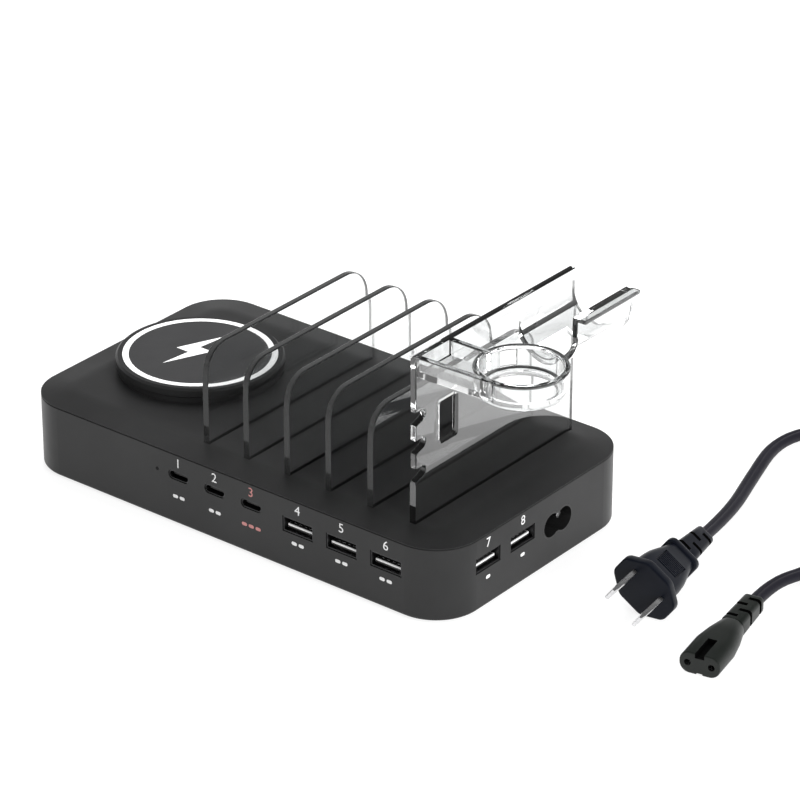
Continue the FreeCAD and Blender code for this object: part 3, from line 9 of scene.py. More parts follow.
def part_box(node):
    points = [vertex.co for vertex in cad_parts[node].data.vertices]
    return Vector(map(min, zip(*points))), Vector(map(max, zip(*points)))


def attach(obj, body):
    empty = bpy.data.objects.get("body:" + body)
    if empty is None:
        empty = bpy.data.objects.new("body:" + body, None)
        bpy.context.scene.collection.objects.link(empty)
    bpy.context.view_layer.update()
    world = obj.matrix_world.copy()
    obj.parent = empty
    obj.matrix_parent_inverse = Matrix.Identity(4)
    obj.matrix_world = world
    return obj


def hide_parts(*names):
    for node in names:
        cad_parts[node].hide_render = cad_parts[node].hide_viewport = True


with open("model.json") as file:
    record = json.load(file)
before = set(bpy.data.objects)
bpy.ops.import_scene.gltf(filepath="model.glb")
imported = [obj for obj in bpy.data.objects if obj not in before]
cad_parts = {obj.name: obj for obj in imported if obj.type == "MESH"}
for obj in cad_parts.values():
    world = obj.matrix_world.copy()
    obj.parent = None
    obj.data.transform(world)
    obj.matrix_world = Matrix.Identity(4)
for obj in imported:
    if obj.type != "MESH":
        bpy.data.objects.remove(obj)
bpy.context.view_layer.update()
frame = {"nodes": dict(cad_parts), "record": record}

# A desktop charging station with a wireless puck, clear lift-out dividers and a loose mains lead.
# Sizes are written in millimetres and turned into the frame's metres by MM.

MM = 0.001
scene = bpy.context.scene
nodes = frame["nodes"]
CASING_LOW, CASING_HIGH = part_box("base_tray")

# Places nearer than TOUCH are one, and a face whose normal passes FACING looks along that axis
TOUCH = 0.01
FACING = 0.9
SMOOTH_ANGLE = math.radians(32.0)
RIM_ANGLE = math.radians(60.0)
ROUND_SEGMENTS = 4
RIM_SEGMENTS = 3
EASED_SEGMENTS = 2

# Places of the further finishes on a piece that has more than one; on clear sheets they are dark tints
# that paint the shade seen along rims, edges and front edges
PAINTED_SHADE_RIM = 1
PAINTED_SHADE_EDGE = 2
PAINTED_SHADE_FRONT = 3
# The recess finish is black without gloss; it paints the shade in grooves, holes and slits.
PAINTED_SHADE_RECESS = 1

CAMERA_AZIMUTH = math.radians(38.62)
CAMERA_ELEVATION = math.radians(27.44)
CAMERA_DISTANCE = 1412.5 * MM
CAMERA_TARGET = Vector((20.15, 18.14, 34.67)) * MM
CAMERA_LENS = 179.7
CAMERA_SENSOR = 36.0

# Flat twin cord: two round lobes side by side
CORD_WIDTH = 5.2
CORD_LOBE = 1.7
CORD_LOBE_SHIFT = CORD_WIDTH / 2 - CORD_LOBE
CORD_STEPS = 6
LOBE_POINTS = 9

# The cord's route: out of the connector, round its coil, then along the surface to the plug
CONNECTOR_EXIT = (169.065, 23.124, 4.0)
CONNECTOR_STRETCH = (
    (166.055, 38.329, 3.6),
    (171.2, 55.5, 2.6),
    (171.2, 70.8, 2.8),
)
COIL_CENTRE = (206.9, 76.0)
COIL_OUTER = 35.7
COIL_PITCH = 5.7
COIL_TURNS = 5
COIL_LOW = 2.8
COIL_LAYER = 3.5
COIL_STEPS = 16
PLUG_STRETCH = (
    (171.2, 81.2, 6.3),
    (171.2, 100.0, 5.4),
    (170.4, 120.0, 3.0),
    (167.8, 140.0, 1.7),
    (153.3, 154.5, 1.7),
    (133.0, 157.0, 1.7),
    (115.4, 146.4, 1.7),
    (108.1, 127.3, 1.7),
    (116.9, 98.6, 1.7),
    (126.934, 70.364, 3.4),
    (131.496, 46.895, 5.768),
)

# Where the lead's two end fittings lie; each is drawn along +Y from its front face
PLUG_PLACE = (
    Matrix.Translation(Vector((141.0, -2.0, 10.126)) * MM)
    @ Matrix.Rotation(math.radians(11.0), 4, "Z")
    @ Matrix.Rotation(math.radians(-5.0), 4, "X")
    @ Matrix.Rotation(math.radians(36.0), 4, "Y")
)
CONNECTOR_PLACE = (
    Matrix.Translation(Vector((178.0, -22.0, 4.0)) * MM)
    @ Matrix.Rotation(math.radians(11.2), 4, "Z")
)


# Camera


def make_camera():
    back = Vector((
        math.sin(CAMERA_AZIMUTH) * math.cos(CAMERA_ELEVATION),
        -math.cos(CAMERA_AZIMUTH) * math.cos(CAMERA_ELEVATION),
        math.sin(CAMERA_ELEVATION),
    ))
    lens = bpy.data.cameras.new("camera")
    lens.lens = CAMERA_LENS
    lens.sensor_width = CAMERA_SENSOR
    camera = bpy.data.objects.new("camera", lens)
    camera.location = CAMERA_TARGET + back * CAMERA_DISTANCE
    camera.rotation_euler = (-back).to_track_quat("-Z", "Y").to_euler()
    scene.collection.objects.link(camera)
    scene.camera = camera


# Materials


def grey(level):
    return (level, level, level)


def finish_of(name, roughness, metallic=0.0):
    """A new material with its node tree and main shader."""
    material = bpy.data.materials.new(name)
    material.use_nodes = True
    tree = material.node_tree
    shader = tree.nodes["Principled BSDF"]
    shader.inputs["Roughness"].default_value = roughness
    shader.inputs["Metallic"].default_value = metallic
    return material, tree, shader


def place_of(tree, stretch=(1.0, 1.0, 1.0)):
    """Object coordinates, stretched along an axis where the finish has a direction."""
    coordinates = tree.nodes.new("ShaderNodeTexCoord")
    mapping = tree.nodes.new("ShaderNodeMapping")
    mapping.inputs["Scale"].default_value = stretch
    tree.links.new(coordinates.outputs["Object"], mapping.inputs["Vector"])
    return mapping.outputs["Vector"]


def noise(tree, scale, detail=2.0, stretch=(1.0, 1.0, 1.0)):
    texture = tree.nodes.new("ShaderNodeTexNoise")
    texture.inputs["Scale"].default_value = scale
    texture.inputs["Detail"].default_value = detail
    tree.links.new(place_of(tree, stretch), texture.inputs["Vector"])
    return texture.outputs["Fac"]


def colours(tree, shader, pattern, stops):
    """Colours the shader by a pattern, from (place, colour) stops."""
    ramp = tree.nodes.new("ShaderNodeValToRGB")
    for element, (place, colour) in zip(ramp.color_ramp.elements, stops):
        element.position = place
        element.color = (*colour, 1.0)
    tree.links.new(pattern, ramp.inputs["Fac"])
    tree.links.new(ramp.outputs["Color"], shader.inputs["Base Color"])


def vary_roughness(tree, shader, pattern, low, high):
    spread = tree.nodes.new("ShaderNodeMapRange")
    spread.inputs["To Min"].default_value = low
    spread.inputs["To Max"].default_value = high
    tree.links.new(pattern, spread.inputs["Value"])
    tree.links.new(spread.outputs["Result"], shader.inputs["Roughness"])


def relief(tree, shader, pattern, depth, strength):
    bump = tree.nodes.new("ShaderNodeBump")
    bump.inputs["Strength"].default_value = strength
    bump.inputs["Distance"].default_value = depth * MM
    tree.links.new(pattern, bump.inputs["Height"])
    tree.links.new(bump.outputs["Normal"], shader.inputs["Normal"])


def moulded(name, dark, light, roughness, grain=2600.0, depth=0.02, gloss=0.5):
    """Moulded plastic: faint cloudy tone and a fine eroded grain."""
    material, tree, shader = finish_of(name, roughness)
    shader.inputs["Specular IOR Level"].default_value = gloss
    colours(tree, shader, noise(tree, scale=35.0, detail=4.0), [(0.35, dark), (0.65, light)])
    polish = noise(tree, scale=160.0, detail=3.0)
    vary_roughness(tree, shader, polish, low=roughness - 0.05, high=roughness + 0.05)
    relief(tree, shader, noise(tree, scale=grain), depth, strength=0.5)
    return material


def metal(name, dark, light, roughness, stretch):
    """Plated or drawn metal with fine lines along its length."""
    material, tree, shader = finish_of(name, roughness, metallic=1.0)
    lines = noise(tree, scale=900.0, detail=3.0, stretch=stretch)
    colours(tree, shader, lines, [(0.3, dark), (0.7, light)])
    vary_roughness(tree, shader, lines, low=roughness - 0.06, high=roughness + 0.08)
    relief(tree, shader, lines, depth=0.01, strength=0.25)
    return material


def acrylic(name, dark, light, coat=1.0, clarity=1.0, gloss=0.5):
    """Clear polished sheet with a faint unevenness and thin handling marks; its dark-tinted copies
    paint shade on rims and edges.
    """
    material, tree, shader = finish_of(name, roughness=0.0)
    shader.inputs["Transmission Weight"].default_value = clarity
    shader.inputs["Specular IOR Level"].default_value = gloss
    shader.inputs["IOR"].default_value = 1.49
    shader.inputs["Coat Weight"].default_value = coat
    shader.inputs["Coat IOR"].default_value = 1.7
    shader.inputs["Coat Roughness"].default_value = 0.0
    colours(tree, shader, noise(tree, scale=12.0), [(0.3, dark), (0.7, light)])
    vary_roughness(tree, shader, noise(tree, scale=45.0, detail=6.0), low=0.0, high=0.012)
    return material


def light_guide():
    """White light-guide plastic, not lit."""
    material, tree, shader = finish_of("light_guide_white", roughness=0.4)
    clouds = noise(tree, scale=120.0, detail=3.0)
    colours(tree, shader, clouds, [(0.3, grey(0.9)), (0.7, grey(0.95))])
    relief(tree, shader, noise(tree, scale=1800.0, detail=1.0), depth=0.01, strength=0.2)
    return material


def circuit():
    """Solder mask over copper tracks."""
    material, tree, shader = finish_of("circuit_board", roughness=0.35)
    tracks = tree.nodes.new("ShaderNodeTexBrick")
    tracks.inputs["Scale"].default_value = 180.0
    tracks.inputs["Color1"].default_value = (0.012, 0.09, 0.035, 1.0)
    tracks.inputs["Color2"].default_value = (0.016, 0.12, 0.045, 1.0)
    tracks.inputs["Mortar"].default_value = (0.03, 0.2, 0.075, 1.0)
    tree.links.new(place_of(tree), tracks.inputs["Vector"])
    tree.links.new(tracks.outputs["Color"], shader.inputs["Base Color"])
    relief(tree, shader, tracks.outputs["Fac"], depth=0.03, strength=0.6)
    return material


def wound_copper():
    """Enamelled wire laid side by side."""
    material, tree, shader = finish_of("copper_wire", roughness=0.32, metallic=1.0)
    turns = tree.nodes.new("ShaderNodeTexWave")
    turns.wave_type = "RINGS"
    turns.rings_direction = "Z"
    turns.inputs["Scale"].default_value = 420.0
    turns.inputs["Distortion"].default_value = 0.6
    tree.links.new(place_of(tree), turns.inputs["Vector"])
    stops = [(0.0, (0.28, 0.09, 0.03)), (0.8, (0.78, 0.36, 0.16))]
    colours(tree, shader, turns.outputs["Fac"], stops)
    relief(tree, shader, turns.outputs["Fac"], depth=0.15, strength=0.8)
    return material


def woven_strap():
    """Hook-and-loop strap: a dense looped face."""
    material, tree, shader = finish_of("strap_weave", roughness=0.85)
    loops = tree.nodes.new("ShaderNodeTexVoronoi")
    loops.inputs["Scale"].default_value = 1500.0
    tree.links.new(place_of(tree), loops.inputs["Vector"])
    stops = [(0.1, (0.05, 0.05, 0.052)), (0.7, (0.012, 0.012, 0.013))]
    colours(tree, shader, loops.outputs["Distance"], stops)
    relief(tree, shader, loops.outputs["Distance"], depth=0.2, strength=0.9)
    shader.inputs["Sheen Weight"].default_value = 0.3
    return material


def make_materials():
    """All finishes by the name of their slot."""
    along_y = (1.0, 0.05, 1.0)
    along_z = (1.0, 1.0, 0.1)
    return {
        "casing": moulded(
            "casing_black", (0.017, 0.017, 0.0173), (0.021, 0.021, 0.0213), 0.4, gloss=0.28
        ),
        "foot_rubber": moulded(
            "foot_rubber", grey(0.015), grey(0.025), 0.8, grain=1200.0, depth=0.05
        ),
        "clear_acrylic": acrylic("clear_acrylic", (0.95, 0.96, 0.96), (0.98, 0.985, 0.985)),
        "holder_acrylic": acrylic("holder_acrylic", (0.84, 0.85, 0.85), (0.9, 0.905, 0.905)),
        # The divider rim, edge and front finishes are dark tints that paint the shade seen along clear
        # edges; the front one is a darker copy for edges facing the lit front.
        "divider_edge": acrylic(
            "divider_edge", (0.09, 0.091, 0.091), (0.12, 0.121, 0.121),
            coat=0.0, clarity=0.5, gloss=0.12,
        ),
        "divider_front_painted_shade": acrylic(
            "divider_front_painted_shade", (0.05, 0.051, 0.051), (0.066, 0.067, 0.067),
            coat=0.0, clarity=0.5, gloss=0.12,
        ),
        "divider_rim_painted_shade": acrylic(
            "divider_rim_painted_shade", (0.03, 0.031, 0.031), (0.05, 0.051, 0.051),
            coat=0.0, clarity=0.7, gloss=0.3,
        ),
        # The holder's rim finish is a dark tint that paints shade on its rims; its edge finish is a
        # lighter grey painted shade.
        "holder_rim_painted_shade": acrylic("holder_rim_painted_shade", (0.03, 0.031, 0.031), (0.05, 0.051, 0.051), coat=0.35),
        "holder_edge_painted_shade": acrylic("holder_edge_painted_shade", (0.5, 0.505, 0.505), (0.58, 0.585, 0.585), coat=0.5),
        "screw_steel": metal("screw_steel", (0.45, 0.45, 0.46), (0.62, 0.62, 0.63), 0.35, along_z),
        "puck_pad": moulded(
            "pad_matte", (0.033, 0.033, 0.034), (0.039, 0.039, 0.04), 0.62,
            grain=3200.0, depth=0.03, gloss=0.3,
        ),
        "light_white": light_guide(),
        "copper": wound_copper(),
        "ferrite": moulded(
            "sintered_ferrite", (0.03, 0.03, 0.032), (0.06, 0.06, 0.063), 0.6,
            grain=1500.0, depth=0.06,
        ),
        "circuit_board": circuit(),
        "wire": moulded("wire_sleeve", (0.1, 0.1, 0.105), (0.14, 0.14, 0.145), 0.5),
        "capacitor": moulded("capacitor_sleeve", (0.015, 0.02, 0.05), (0.025, 0.03, 0.07), 0.3),
        "aluminium": metal(
            "extruded_aluminium", (0.6, 0.61, 0.62), (0.78, 0.79, 0.8), 0.38, along_y
        ),
        "socket_metal": metal(
            "socket_shell", (0.05, 0.05, 0.052), (0.09, 0.09, 0.092), 0.42, along_y
        ),
        "tongue_white": moulded("tongue_white", grey(0.8), grey(0.88), 0.4),
        "tongue_dark": moulded("tongue_dark", grey(0.012), grey(0.02), 0.5),
        "status_lens": moulded(
            "status_lens", (0.002, 0.002, 0.0022), (0.004, 0.004, 0.0045), 0.3, gloss=0.1
        ),
        "inlet_plastic": moulded("inlet_black", grey(0.008), grey(0.012), 0.38),
        "contact_metal": metal(
            "contact_nickel", (0.62, 0.62, 0.63), (0.82, 0.82, 0.83), 0.26, along_y
        ),
        "cord_jacket": moulded(
            "cord_jacket", (0.01, 0.0095, 0.014), (0.013, 0.0125, 0.018), 0.5,
            grain=1400.0, depth=0.03, gloss=0.22,
        ),
        "cord_tie": woven_strap(),
        "plug_plastic": moulded(
            "plug_black", (0.0035, 0.0045, 0.008), (0.006, 0.0075, 0.0125), 0.36, gloss=0.16
        ),
        "connector_plastic": moulded(
            "connector_black", (0.006, 0.008, 0.0065), (0.01, 0.012, 0.0105), 0.4, gloss=0.3
        ),
        # Black without gloss that paints the shade inside recesses.
        "recess_painted_shade": moulded("recess_painted_shade", grey(0.002), grey(0.003), 0.6, gloss=0.02),
        "label_white": moulded("label_white", grey(0.78), grey(0.86), 0.55),
        "label_red": moulded("label_red", (0.5, 0.2, 0.19), (0.56, 0.24, 0.23), 0.55),
    }


def dress_solids(materials):
    """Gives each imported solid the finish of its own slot."""
    for row in frame["record"]["subparts"]:
        for place in nodes[row["node"]].material_slots:
            place.material = materials[row["material_slot"]]


# Meshes


def as_mesh(name, shape):
    mesh = bpy.data.meshes.new(name)
    shape.to_mesh(mesh)
    shape.free()
    return mesh


def piece(name, shape, material):
    """A finished shape as an object that rides on the base."""
    bmesh.ops.recalc_face_normals(shape, faces=shape.faces)
    return stand(name, as_mesh(name, shape), material)


def stand(name, mesh, material, body="base"):
    """A finished mesh as an object that rides on a body; a mesh with finishes of its own keeps them."""
    made = bpy.data.objects.new(name, mesh)
    scene.collection.objects.link(made)
    if not mesh.materials:
        mesh.materials.append(material)
    mesh.polygons.foreach_set("use_smooth", [True] * len(mesh.polygons))
    mesh.set_sharp_from_angle(angle=SMOOTH_ANGLE)
    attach(made, body)
    return made


def move_shape(shape, by):
    bmesh.ops.translate(shape, vec=by, verts=shape.verts)


def turn_shape(shape, angle, axis):
    turn = Matrix.Rotation(angle, 3, axis)
    bmesh.ops.rotate(shape, cent=(0, 0, 0), matrix=turn, verts=shape.verts)


def corner_signs(vert):
    return math.copysign(1.0, vert.co.x), math.copysign(1.0, vert.co.z)


def drawn_out(shape, face):
    """Extrudes a face without leaving one inside the shape, and gives back the new end face."""
    made = bmesh.ops.extrude_face_region(shape, geom=[face, *face.edges])["geom"]
    return next(item for item in made if isinstance(item, bmesh.types.BMFace))


def thickened(shape, by):
    """Makes a solid of a shape's flat faces by drawing them out."""
    made = bmesh.ops.extrude_face_region(shape, geom=list(shape.faces))["geom"]
    far = [item for item in made if isinstance(item, bmesh.types.BMVert)]
    bmesh.ops.translate(shape, vec=by, verts=far)


def bar(stations, rounding=0.0, rim=0.0, segments=5):
    """A bar along +Y through (y, wide, tall) stations in mm, with rounded long edges and end rims."""
    shape = bmesh.new()
    y, wide, tall = stations[0]
    signs = ((-1, -1), (1, -1), (1, 1), (-1, 1))
    corners = [shape.verts.new((i * wide / 2, y, j * tall / 2)) for i, j in signs]
    end = shape.faces.new(corners)
    for y, wide, tall in stations[1:]:
        end = drawn_out(shape, end)
        for vert in end.verts:
            i, j = corner_signs(vert)
            vert.co = (i * wide / 2, y, j * tall / 2)
    if rounding:
        round_edges(shape, long_edges(shape), rounding, segments)
    if rim:
        ends = (stations[0][0], stations[-1][0])
        rims = [edge for edge in shape.edges if lies_at(edge, ends)]
        round_edges(shape, rims, rim, RIM_SEGMENTS)
    return shape


def long_edges(shape):
    return [edge for edge in shape.edges if edge.verts[0].co.y != edge.verts[1].co.y]


def lies_at(edge, levels):
    """True for an edge that lies at one of some levels in Y."""
    return any(all(abs(vert.co.y - level) < TOUCH for vert in edge.verts) for level in levels)


def round_edges(shape, edges, size, segments):
    """Rounds edges, and gives back the faces of the rounding."""
    return bmesh.ops.bevel(
        shape, geom=edges, offset=size, offset_type="OFFSET", segments=segments,
        profile=0.5, affect="EDGES", material=-1, clamp_overlap=True,
    )["faces"]


def mark(faces, finish):
    """Gives faces one of the further finishes of their piece."""
    for face in faces:
        face.material_index = finish


def block(size, middle, rounding=0.0):
    """A box in mm about its middle, with its edges rounded."""
    shape = bmesh.new()
    bmesh.ops.create_cube(shape, size=1.0)
    bmesh.ops.scale(shape, vec=size, verts=shape.verts)
    if rounding:
        round_edges(shape, list(shape.edges), rounding, EASED_SEGMENTS)
    move_shape(shape, middle)
    return shape


def rod(radius, length, segments):
    """An upright rod in mm about the origin."""
    shape = bmesh.new()
    bmesh.ops.create_cone(
        shape, cap_ends=True, segments=segments, radius1=radius, radius2=radius, depth=length
    )
    return shape


def helper_object(shape, finishes):
    bmesh.ops.recalc_face_normals(shape, faces=shape.faces)
    mesh = as_mesh("helper", shape)
    for finish in finishes:
        mesh.materials.append(finish)
    made = bpy.data.objects.new("helper", mesh)
    scene.collection.objects.link(made)
    return made


def carve(shape, cutters, added=(), finishes=()):
    """The shape with others added to it and then each cutter taken out of it, as a mesh."""
    work = helper_object(shape, finishes)
    tools = [(helper_object(other, finishes), "UNION") for other in added]
    tools += [(helper_object(cutter, finishes), "DIFFERENCE") for cutter in cutters]
    for tool, operation in tools:
        step = work.modifiers.new("step", "BOOLEAN")
        step.operation = operation
        step.solver = "EXACT"
        step.object = tool
    mesh = mesh_of(work)
    bpy.data.objects.remove(work)
    for tool, operation in tools:
        bpy.data.objects.remove(tool)
    return mesh


def mesh_of(thing):
    depsgraph = bpy.context.evaluated_depsgraph_get()
    return bpy.data.meshes.new_from_object(thing.evaluated_get(depsgraph))


def shape_of(mesh):
    shape = bmesh.new()
    shape.from_mesh(mesh)
    bpy.data.meshes.remove(mesh)
    return shape


def joined(shapes):
    """Several shapes as one."""
    whole = bmesh.new()
    for shape in shapes:
        mesh = as_mesh("part", shape)
        whole.from_mesh(mesh)
        bpy.data.meshes.remove(mesh)
    return whole


def settle(mesh, place=Matrix.Identity(4)):
    """Turns a mesh drawn in mm about its own frame into metres where it lies."""
    mesh.transform(place @ Matrix.Scale(MM, 4))
    return mesh


# Mains lead


def coil_points():
    """Spirals in on the lower layer and out again on the upper one, climbing as it turns back."""
    points = []
    whole = 2 * math.pi * COIL_TURNS
    for step in range(COIL_TURNS * COIL_STEPS + 1):
        angle = 2 * math.pi * step / COIL_STEPS
        radius = COIL_OUTER - COIL_PITCH * min(angle, whole - angle) / (2 * math.pi)
        climbed = min(max((angle - whole / 2) / math.pi + 0.5, 0.0), 1.0)
        height = COIL_LOW + COIL_LAYER * (1 - math.cos(math.pi * climbed)) / 2
        x = COIL_CENTRE[0] - radius * math.cos(angle)
        y = COIL_CENTRE[1] + radius * math.sin(angle)
        points.append((x, y, height))
    return points


def route_curve():
    points = [CONNECTOR_EXIT, *CONNECTOR_STRETCH, *coil_points(), *PLUG_STRETCH]
    line = bpy.data.curves.new("cord_line", "CURVE")
    line.dimensions = "3D"
    line.twist_mode = "Z_UP"
    line.resolution_u = CORD_STEPS
    spline = line.splines.new("NURBS")
    spline.points.add(len(points) - 1)
    for control, point in zip(spline.points, points):
        control.co = (*(Vector(point) * MM), 1.0)
    spline.order_u = 3
    spline.use_endpoint_u = True
    made = bpy.data.objects.new("cord_line", line)
    scene.collection.objects.link(made)
    return made


def twin_section():
    """The cord's section as a closed curve: the outline of two lobes side by side."""
    reach = math.pi - math.acos(CORD_LOBE_SHIFT / CORD_LOBE)
    outline = []
    for side in (1, -1):
        for i in range(LOBE_POINTS - 1):
            angle = -reach + 2 * reach * i / (LOBE_POINTS - 1)
            x = side * (CORD_LOBE_SHIFT + CORD_LOBE * math.cos(angle))
            y = side * CORD_LOBE * math.sin(angle)
            outline.append((x * MM, y * MM, 0.0, 1.0))
    section = bpy.data.curves.new("cord_section", "CURVE")
    section.dimensions = "2D"
    spline = section.splines.new("POLY")
    spline.points.add(len(outline) - 1)
    for control, point in zip(spline.points, outline):
        control.co = point
    spline.use_cyclic_u = True
    made = bpy.data.objects.new("cord_section", section)
    scene.collection.objects.link(made)
    return made


def make_cord(material):
    """The whole cord as one tube, with the points that it follows."""
    line = route_curve()
    bare = mesh_of(line)
    path = [tuple(vert.co) for vert in bare.vertices]
    bpy.data.meshes.remove(bare)
    section = twin_section()
    line.data.bevel_mode = "OBJECT"
    line.data.bevel_object = section
    line.data.use_fill_caps = True
    tube = mesh_of(line)
    tube.name = "mains_cord"
    bpy.data.objects.remove(line)
    bpy.data.objects.remove(section)
    cord = stand("mains_cord", tube, material)
    return cord, path


STRAP_WIDE = 12.0
STRAP_THICK = 0.8
STRAP_INNER = 17.4
STRAP_OUTER = 36.0
STRAP_ROOM = 0.5
STRAP_ROUND = 2.4
LAP_LONG = 8.0
LAP_ROUND = 0.2


def make_tie(material):
    """A strap drawn round the coil on its far side, with a lapped end."""
    low = STRAP_THICK / 2
    high = COIL_LOW + COIL_LAYER + CORD_LOBE + STRAP_ROOM
    deep = STRAP_OUTER - STRAP_INNER
    tall = high - low
    loop = bar([(0.0, deep, tall), (STRAP_WIDE, deep, tall)], STRAP_ROUND, segments=6)
    caps = [face for face in loop.faces if abs(face.normal.y) > FACING]
    bmesh.ops.delete(loop, geom=caps, context="FACES_ONLY")
    bmesh.ops.recalc_face_normals(loop, faces=loop.faces)
    bmesh.ops.solidify(loop, geom=list(loop.faces), thickness=STRAP_THICK / 2)
    lap_middle = (deep / 4, STRAP_WIDE / 2, tall / 2 + STRAP_THICK / 2)
    lap = block((LAP_LONG, STRAP_WIDE, STRAP_THICK), lap_middle, LAP_ROUND)
    tie = piece("cord_strap", joined((loop, lap)), material)
    x = COIL_CENTRE[0] + (STRAP_INNER + STRAP_OUTER) / 2
    y = COIL_CENTRE[1] - STRAP_WIDE / 2
    settle(tie.data, Matrix.Translation(Vector((x, y, (low + high) / 2)) * MM))
    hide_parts("cord_tie")
    return tie


SLIT_COUNT = 4
SLIT_WIDE = 1.7
SLIT_DEEP = 1.5
SLIT_PAST_MIDDLE = 0.6
SLIT_OVERCUT = 1.0
SLIT_FIRST = 0.8
SLIT_SPAN = 0.88
BOOT_ROUND = 1.6
BOOT_RIM = 0.7


def slit_cutters(stations):
    """Cutters for the slits that let a strain relief bend, from its two sides in turn."""
    (start, wide, tall), (end, end_wide, end_tall) = stations
    cutters = []
    for i in range(SLIT_COUNT):
        share = (i + SLIT_FIRST) / SLIT_COUNT * SLIT_SPAN
        y = start + (end - start) * share
        half_wide = (wide + (end_wide - wide) * share) / 2
        half_tall = (tall + (end_tall - tall) * share) / 2
        side = 1 if i % 2 else -1
        cutters.append(block((2 * SLIT_DEEP, SLIT_WIDE, 2 * tall), (side * half_wide, y, 0)))
        reach = half_wide + SLIT_PAST_MIDDLE + SLIT_OVERCUT
        for level in (1, -1):
            middle = (side * (reach / 2 - SLIT_PAST_MIDDLE), y, level * half_tall)
            cutters.append(block((reach, SLIT_WIDE, 2 * SLIT_DEEP), middle))
    return cutters


def make_boot(name, stations, place, finishes, node):
    """A tapered strain relief with slits whose walls have the second of its two finishes, a black that
    paints the shade in them.
    """
    cutters = slit_cutters(stations)
    for cutter in cutters:
        mark(cutter.faces, PAINTED_SHADE_RECESS)
    mesh = carve(bar(stations, BOOT_ROUND, BOOT_RIM), cutters, finishes=finishes)
    boot = stand(name, settle(mesh, place), None)
    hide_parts(node)
    return boot


PLATE_HALF_WIDE = 12.0
PLATE_HALF_TALL = 8.5
PLATE_FLAT = 5.0
PLATE_SIDE = 3.414
PLATE_THICK = 4.0
PLATE_ROUND = 1.4
PLATE_RIM = 0.7


def flange():
    """The plug's eight-sided front plate."""
    right = [
        (PLATE_FLAT, -PLATE_HALF_TALL), (PLATE_HALF_WIDE, -PLATE_SIDE),
        (PLATE_HALF_WIDE, PLATE_SIDE), (PLATE_FLAT, PLATE_HALF_TALL),
    ]
    left = [(-x, -z) for x, z in right]
    shape = bmesh.new()
    shape.faces.new([shape.verts.new((x, 0.0, z)) for x, z in right + left])
    thickened(shape, (0, PLATE_THICK, 0))
    round_edges(shape, long_edges(shape), PLATE_ROUND, ROUND_SEGMENTS)
    rims = [edge for edge in shape.edges if lies_at(edge, (0.0, PLATE_THICK))]
    round_edges(shape, rims, PLATE_RIM, RIM_SEGMENTS)
    return shape


GRIP_STATIONS = (
    (3.6, 18.0, 13.0),
    (8.0, 17.8, 12.8),
    (13.0, 16.8, 12.2),
    (18.0, 14.8, 11.4),
    (22.5, 12.6, 10.6),
    (26.4, 11.5, 10.0),
)
GRIP_ROUND = 2.5
COLLAR_STATIONS = ((26.0, 14.0, 11.0), (29.2, 14.0, 11.0))
COLLAR_RIM = 0.7
PLUG_BOOT_STATIONS = ((29.0, 9.6, 7.8), (50.0, 7.4, 6.0))
BLADE_STATIONS = ((3.0, 1.5, 6.35), (-14.6, 1.5, 6.35), (-16.5, 0.7, 4.4))
BLADE_RIM = 0.12
BLADE_SPACING = 12.7
PAD_MIDDLE = 14.2
PAD_SIZE = 9.4
PAD_CUT = 1.2
PAD_LEVEL = 6.02
PAD_SLOPE = math.radians(-4.6)
RIB_COUNT = 8
RIB_PITCH = 1.1
RIB_SIZE = (8.6, 0.62, 1.0)
RIB_SINK = 0.42
RIB_ROUND = 0.2


def lay_on_pad(shape, side):
    """Tilts a shape to the slope of the plug's upper or lower broad side and puts it there."""
    turn_shape(shape, PAD_SLOPE, "X")
    move_shape(shape, (0, PAD_MIDDLE, PAD_LEVEL))
    if side < 0:
        turn_shape(shape, math.pi, "Y")
    return shape


def ribs():
    """Fine finger ribs that fill the square recess on both broad sides of the plug."""
    shapes = []
    for side in (1, -1):
        for i in range(RIB_COUNT):
            y = (i - (RIB_COUNT - 1) / 2) * RIB_PITCH
            rib = block(RIB_SIZE, (0, y, -RIB_SINK), RIB_ROUND)
            shapes.append(lay_on_pad(rib, side))
    return joined(shapes)


def pad_recess(side):
    return lay_on_pad(block((PAD_SIZE, PAD_SIZE, PAD_CUT), (0, 0, 0)), side)


def make_plug(materials):
    """The two-blade plug with its front plate, ribbed grip, collar and boot."""
    slot = "plug_plastic"
    plastic = materials[slot]
    face = piece("plug_flange", flange(), plastic)
    settle(face.data, PLUG_PLACE)
    grip_mesh = carve(bar(GRIP_STATIONS, GRIP_ROUND), [pad_recess(1), pad_recess(-1)])
    grip = stand("plug_grip", settle(grip_mesh, PLUG_PLACE), plastic)
    pads = piece("plug_ribs", ribs(), plastic)
    settle(pads.data, PLUG_PLACE)
    collar = piece("plug_collar", bar(COLLAR_STATIONS, GRIP_ROUND, COLLAR_RIM), plastic)
    settle(collar.data, PLUG_PLACE)
    finishes = (plastic, materials["recess_painted_shade"])
    boot = make_boot("plug_relief", PLUG_BOOT_STATIONS, PLUG_PLACE, finishes, "plug_boot")
    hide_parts("plug_body")
    shapes = []
    for side in (-1, 1):
        blade = bar(BLADE_STATIONS, rim=BLADE_RIM)
        move_shape(blade, (side * BLADE_SPACING / 2, 0, 0))
        shapes.append(blade)
    blades = piece("plug_prongs", joined(shapes), materials["contact_metal"])
    settle(blades.data, PLUG_PLACE)
    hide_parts("plug_blades")
    for mirrored in (face, boot):
        mirrored.visible_glossy = False
    return [face, grip, pads, collar, boot, blades]


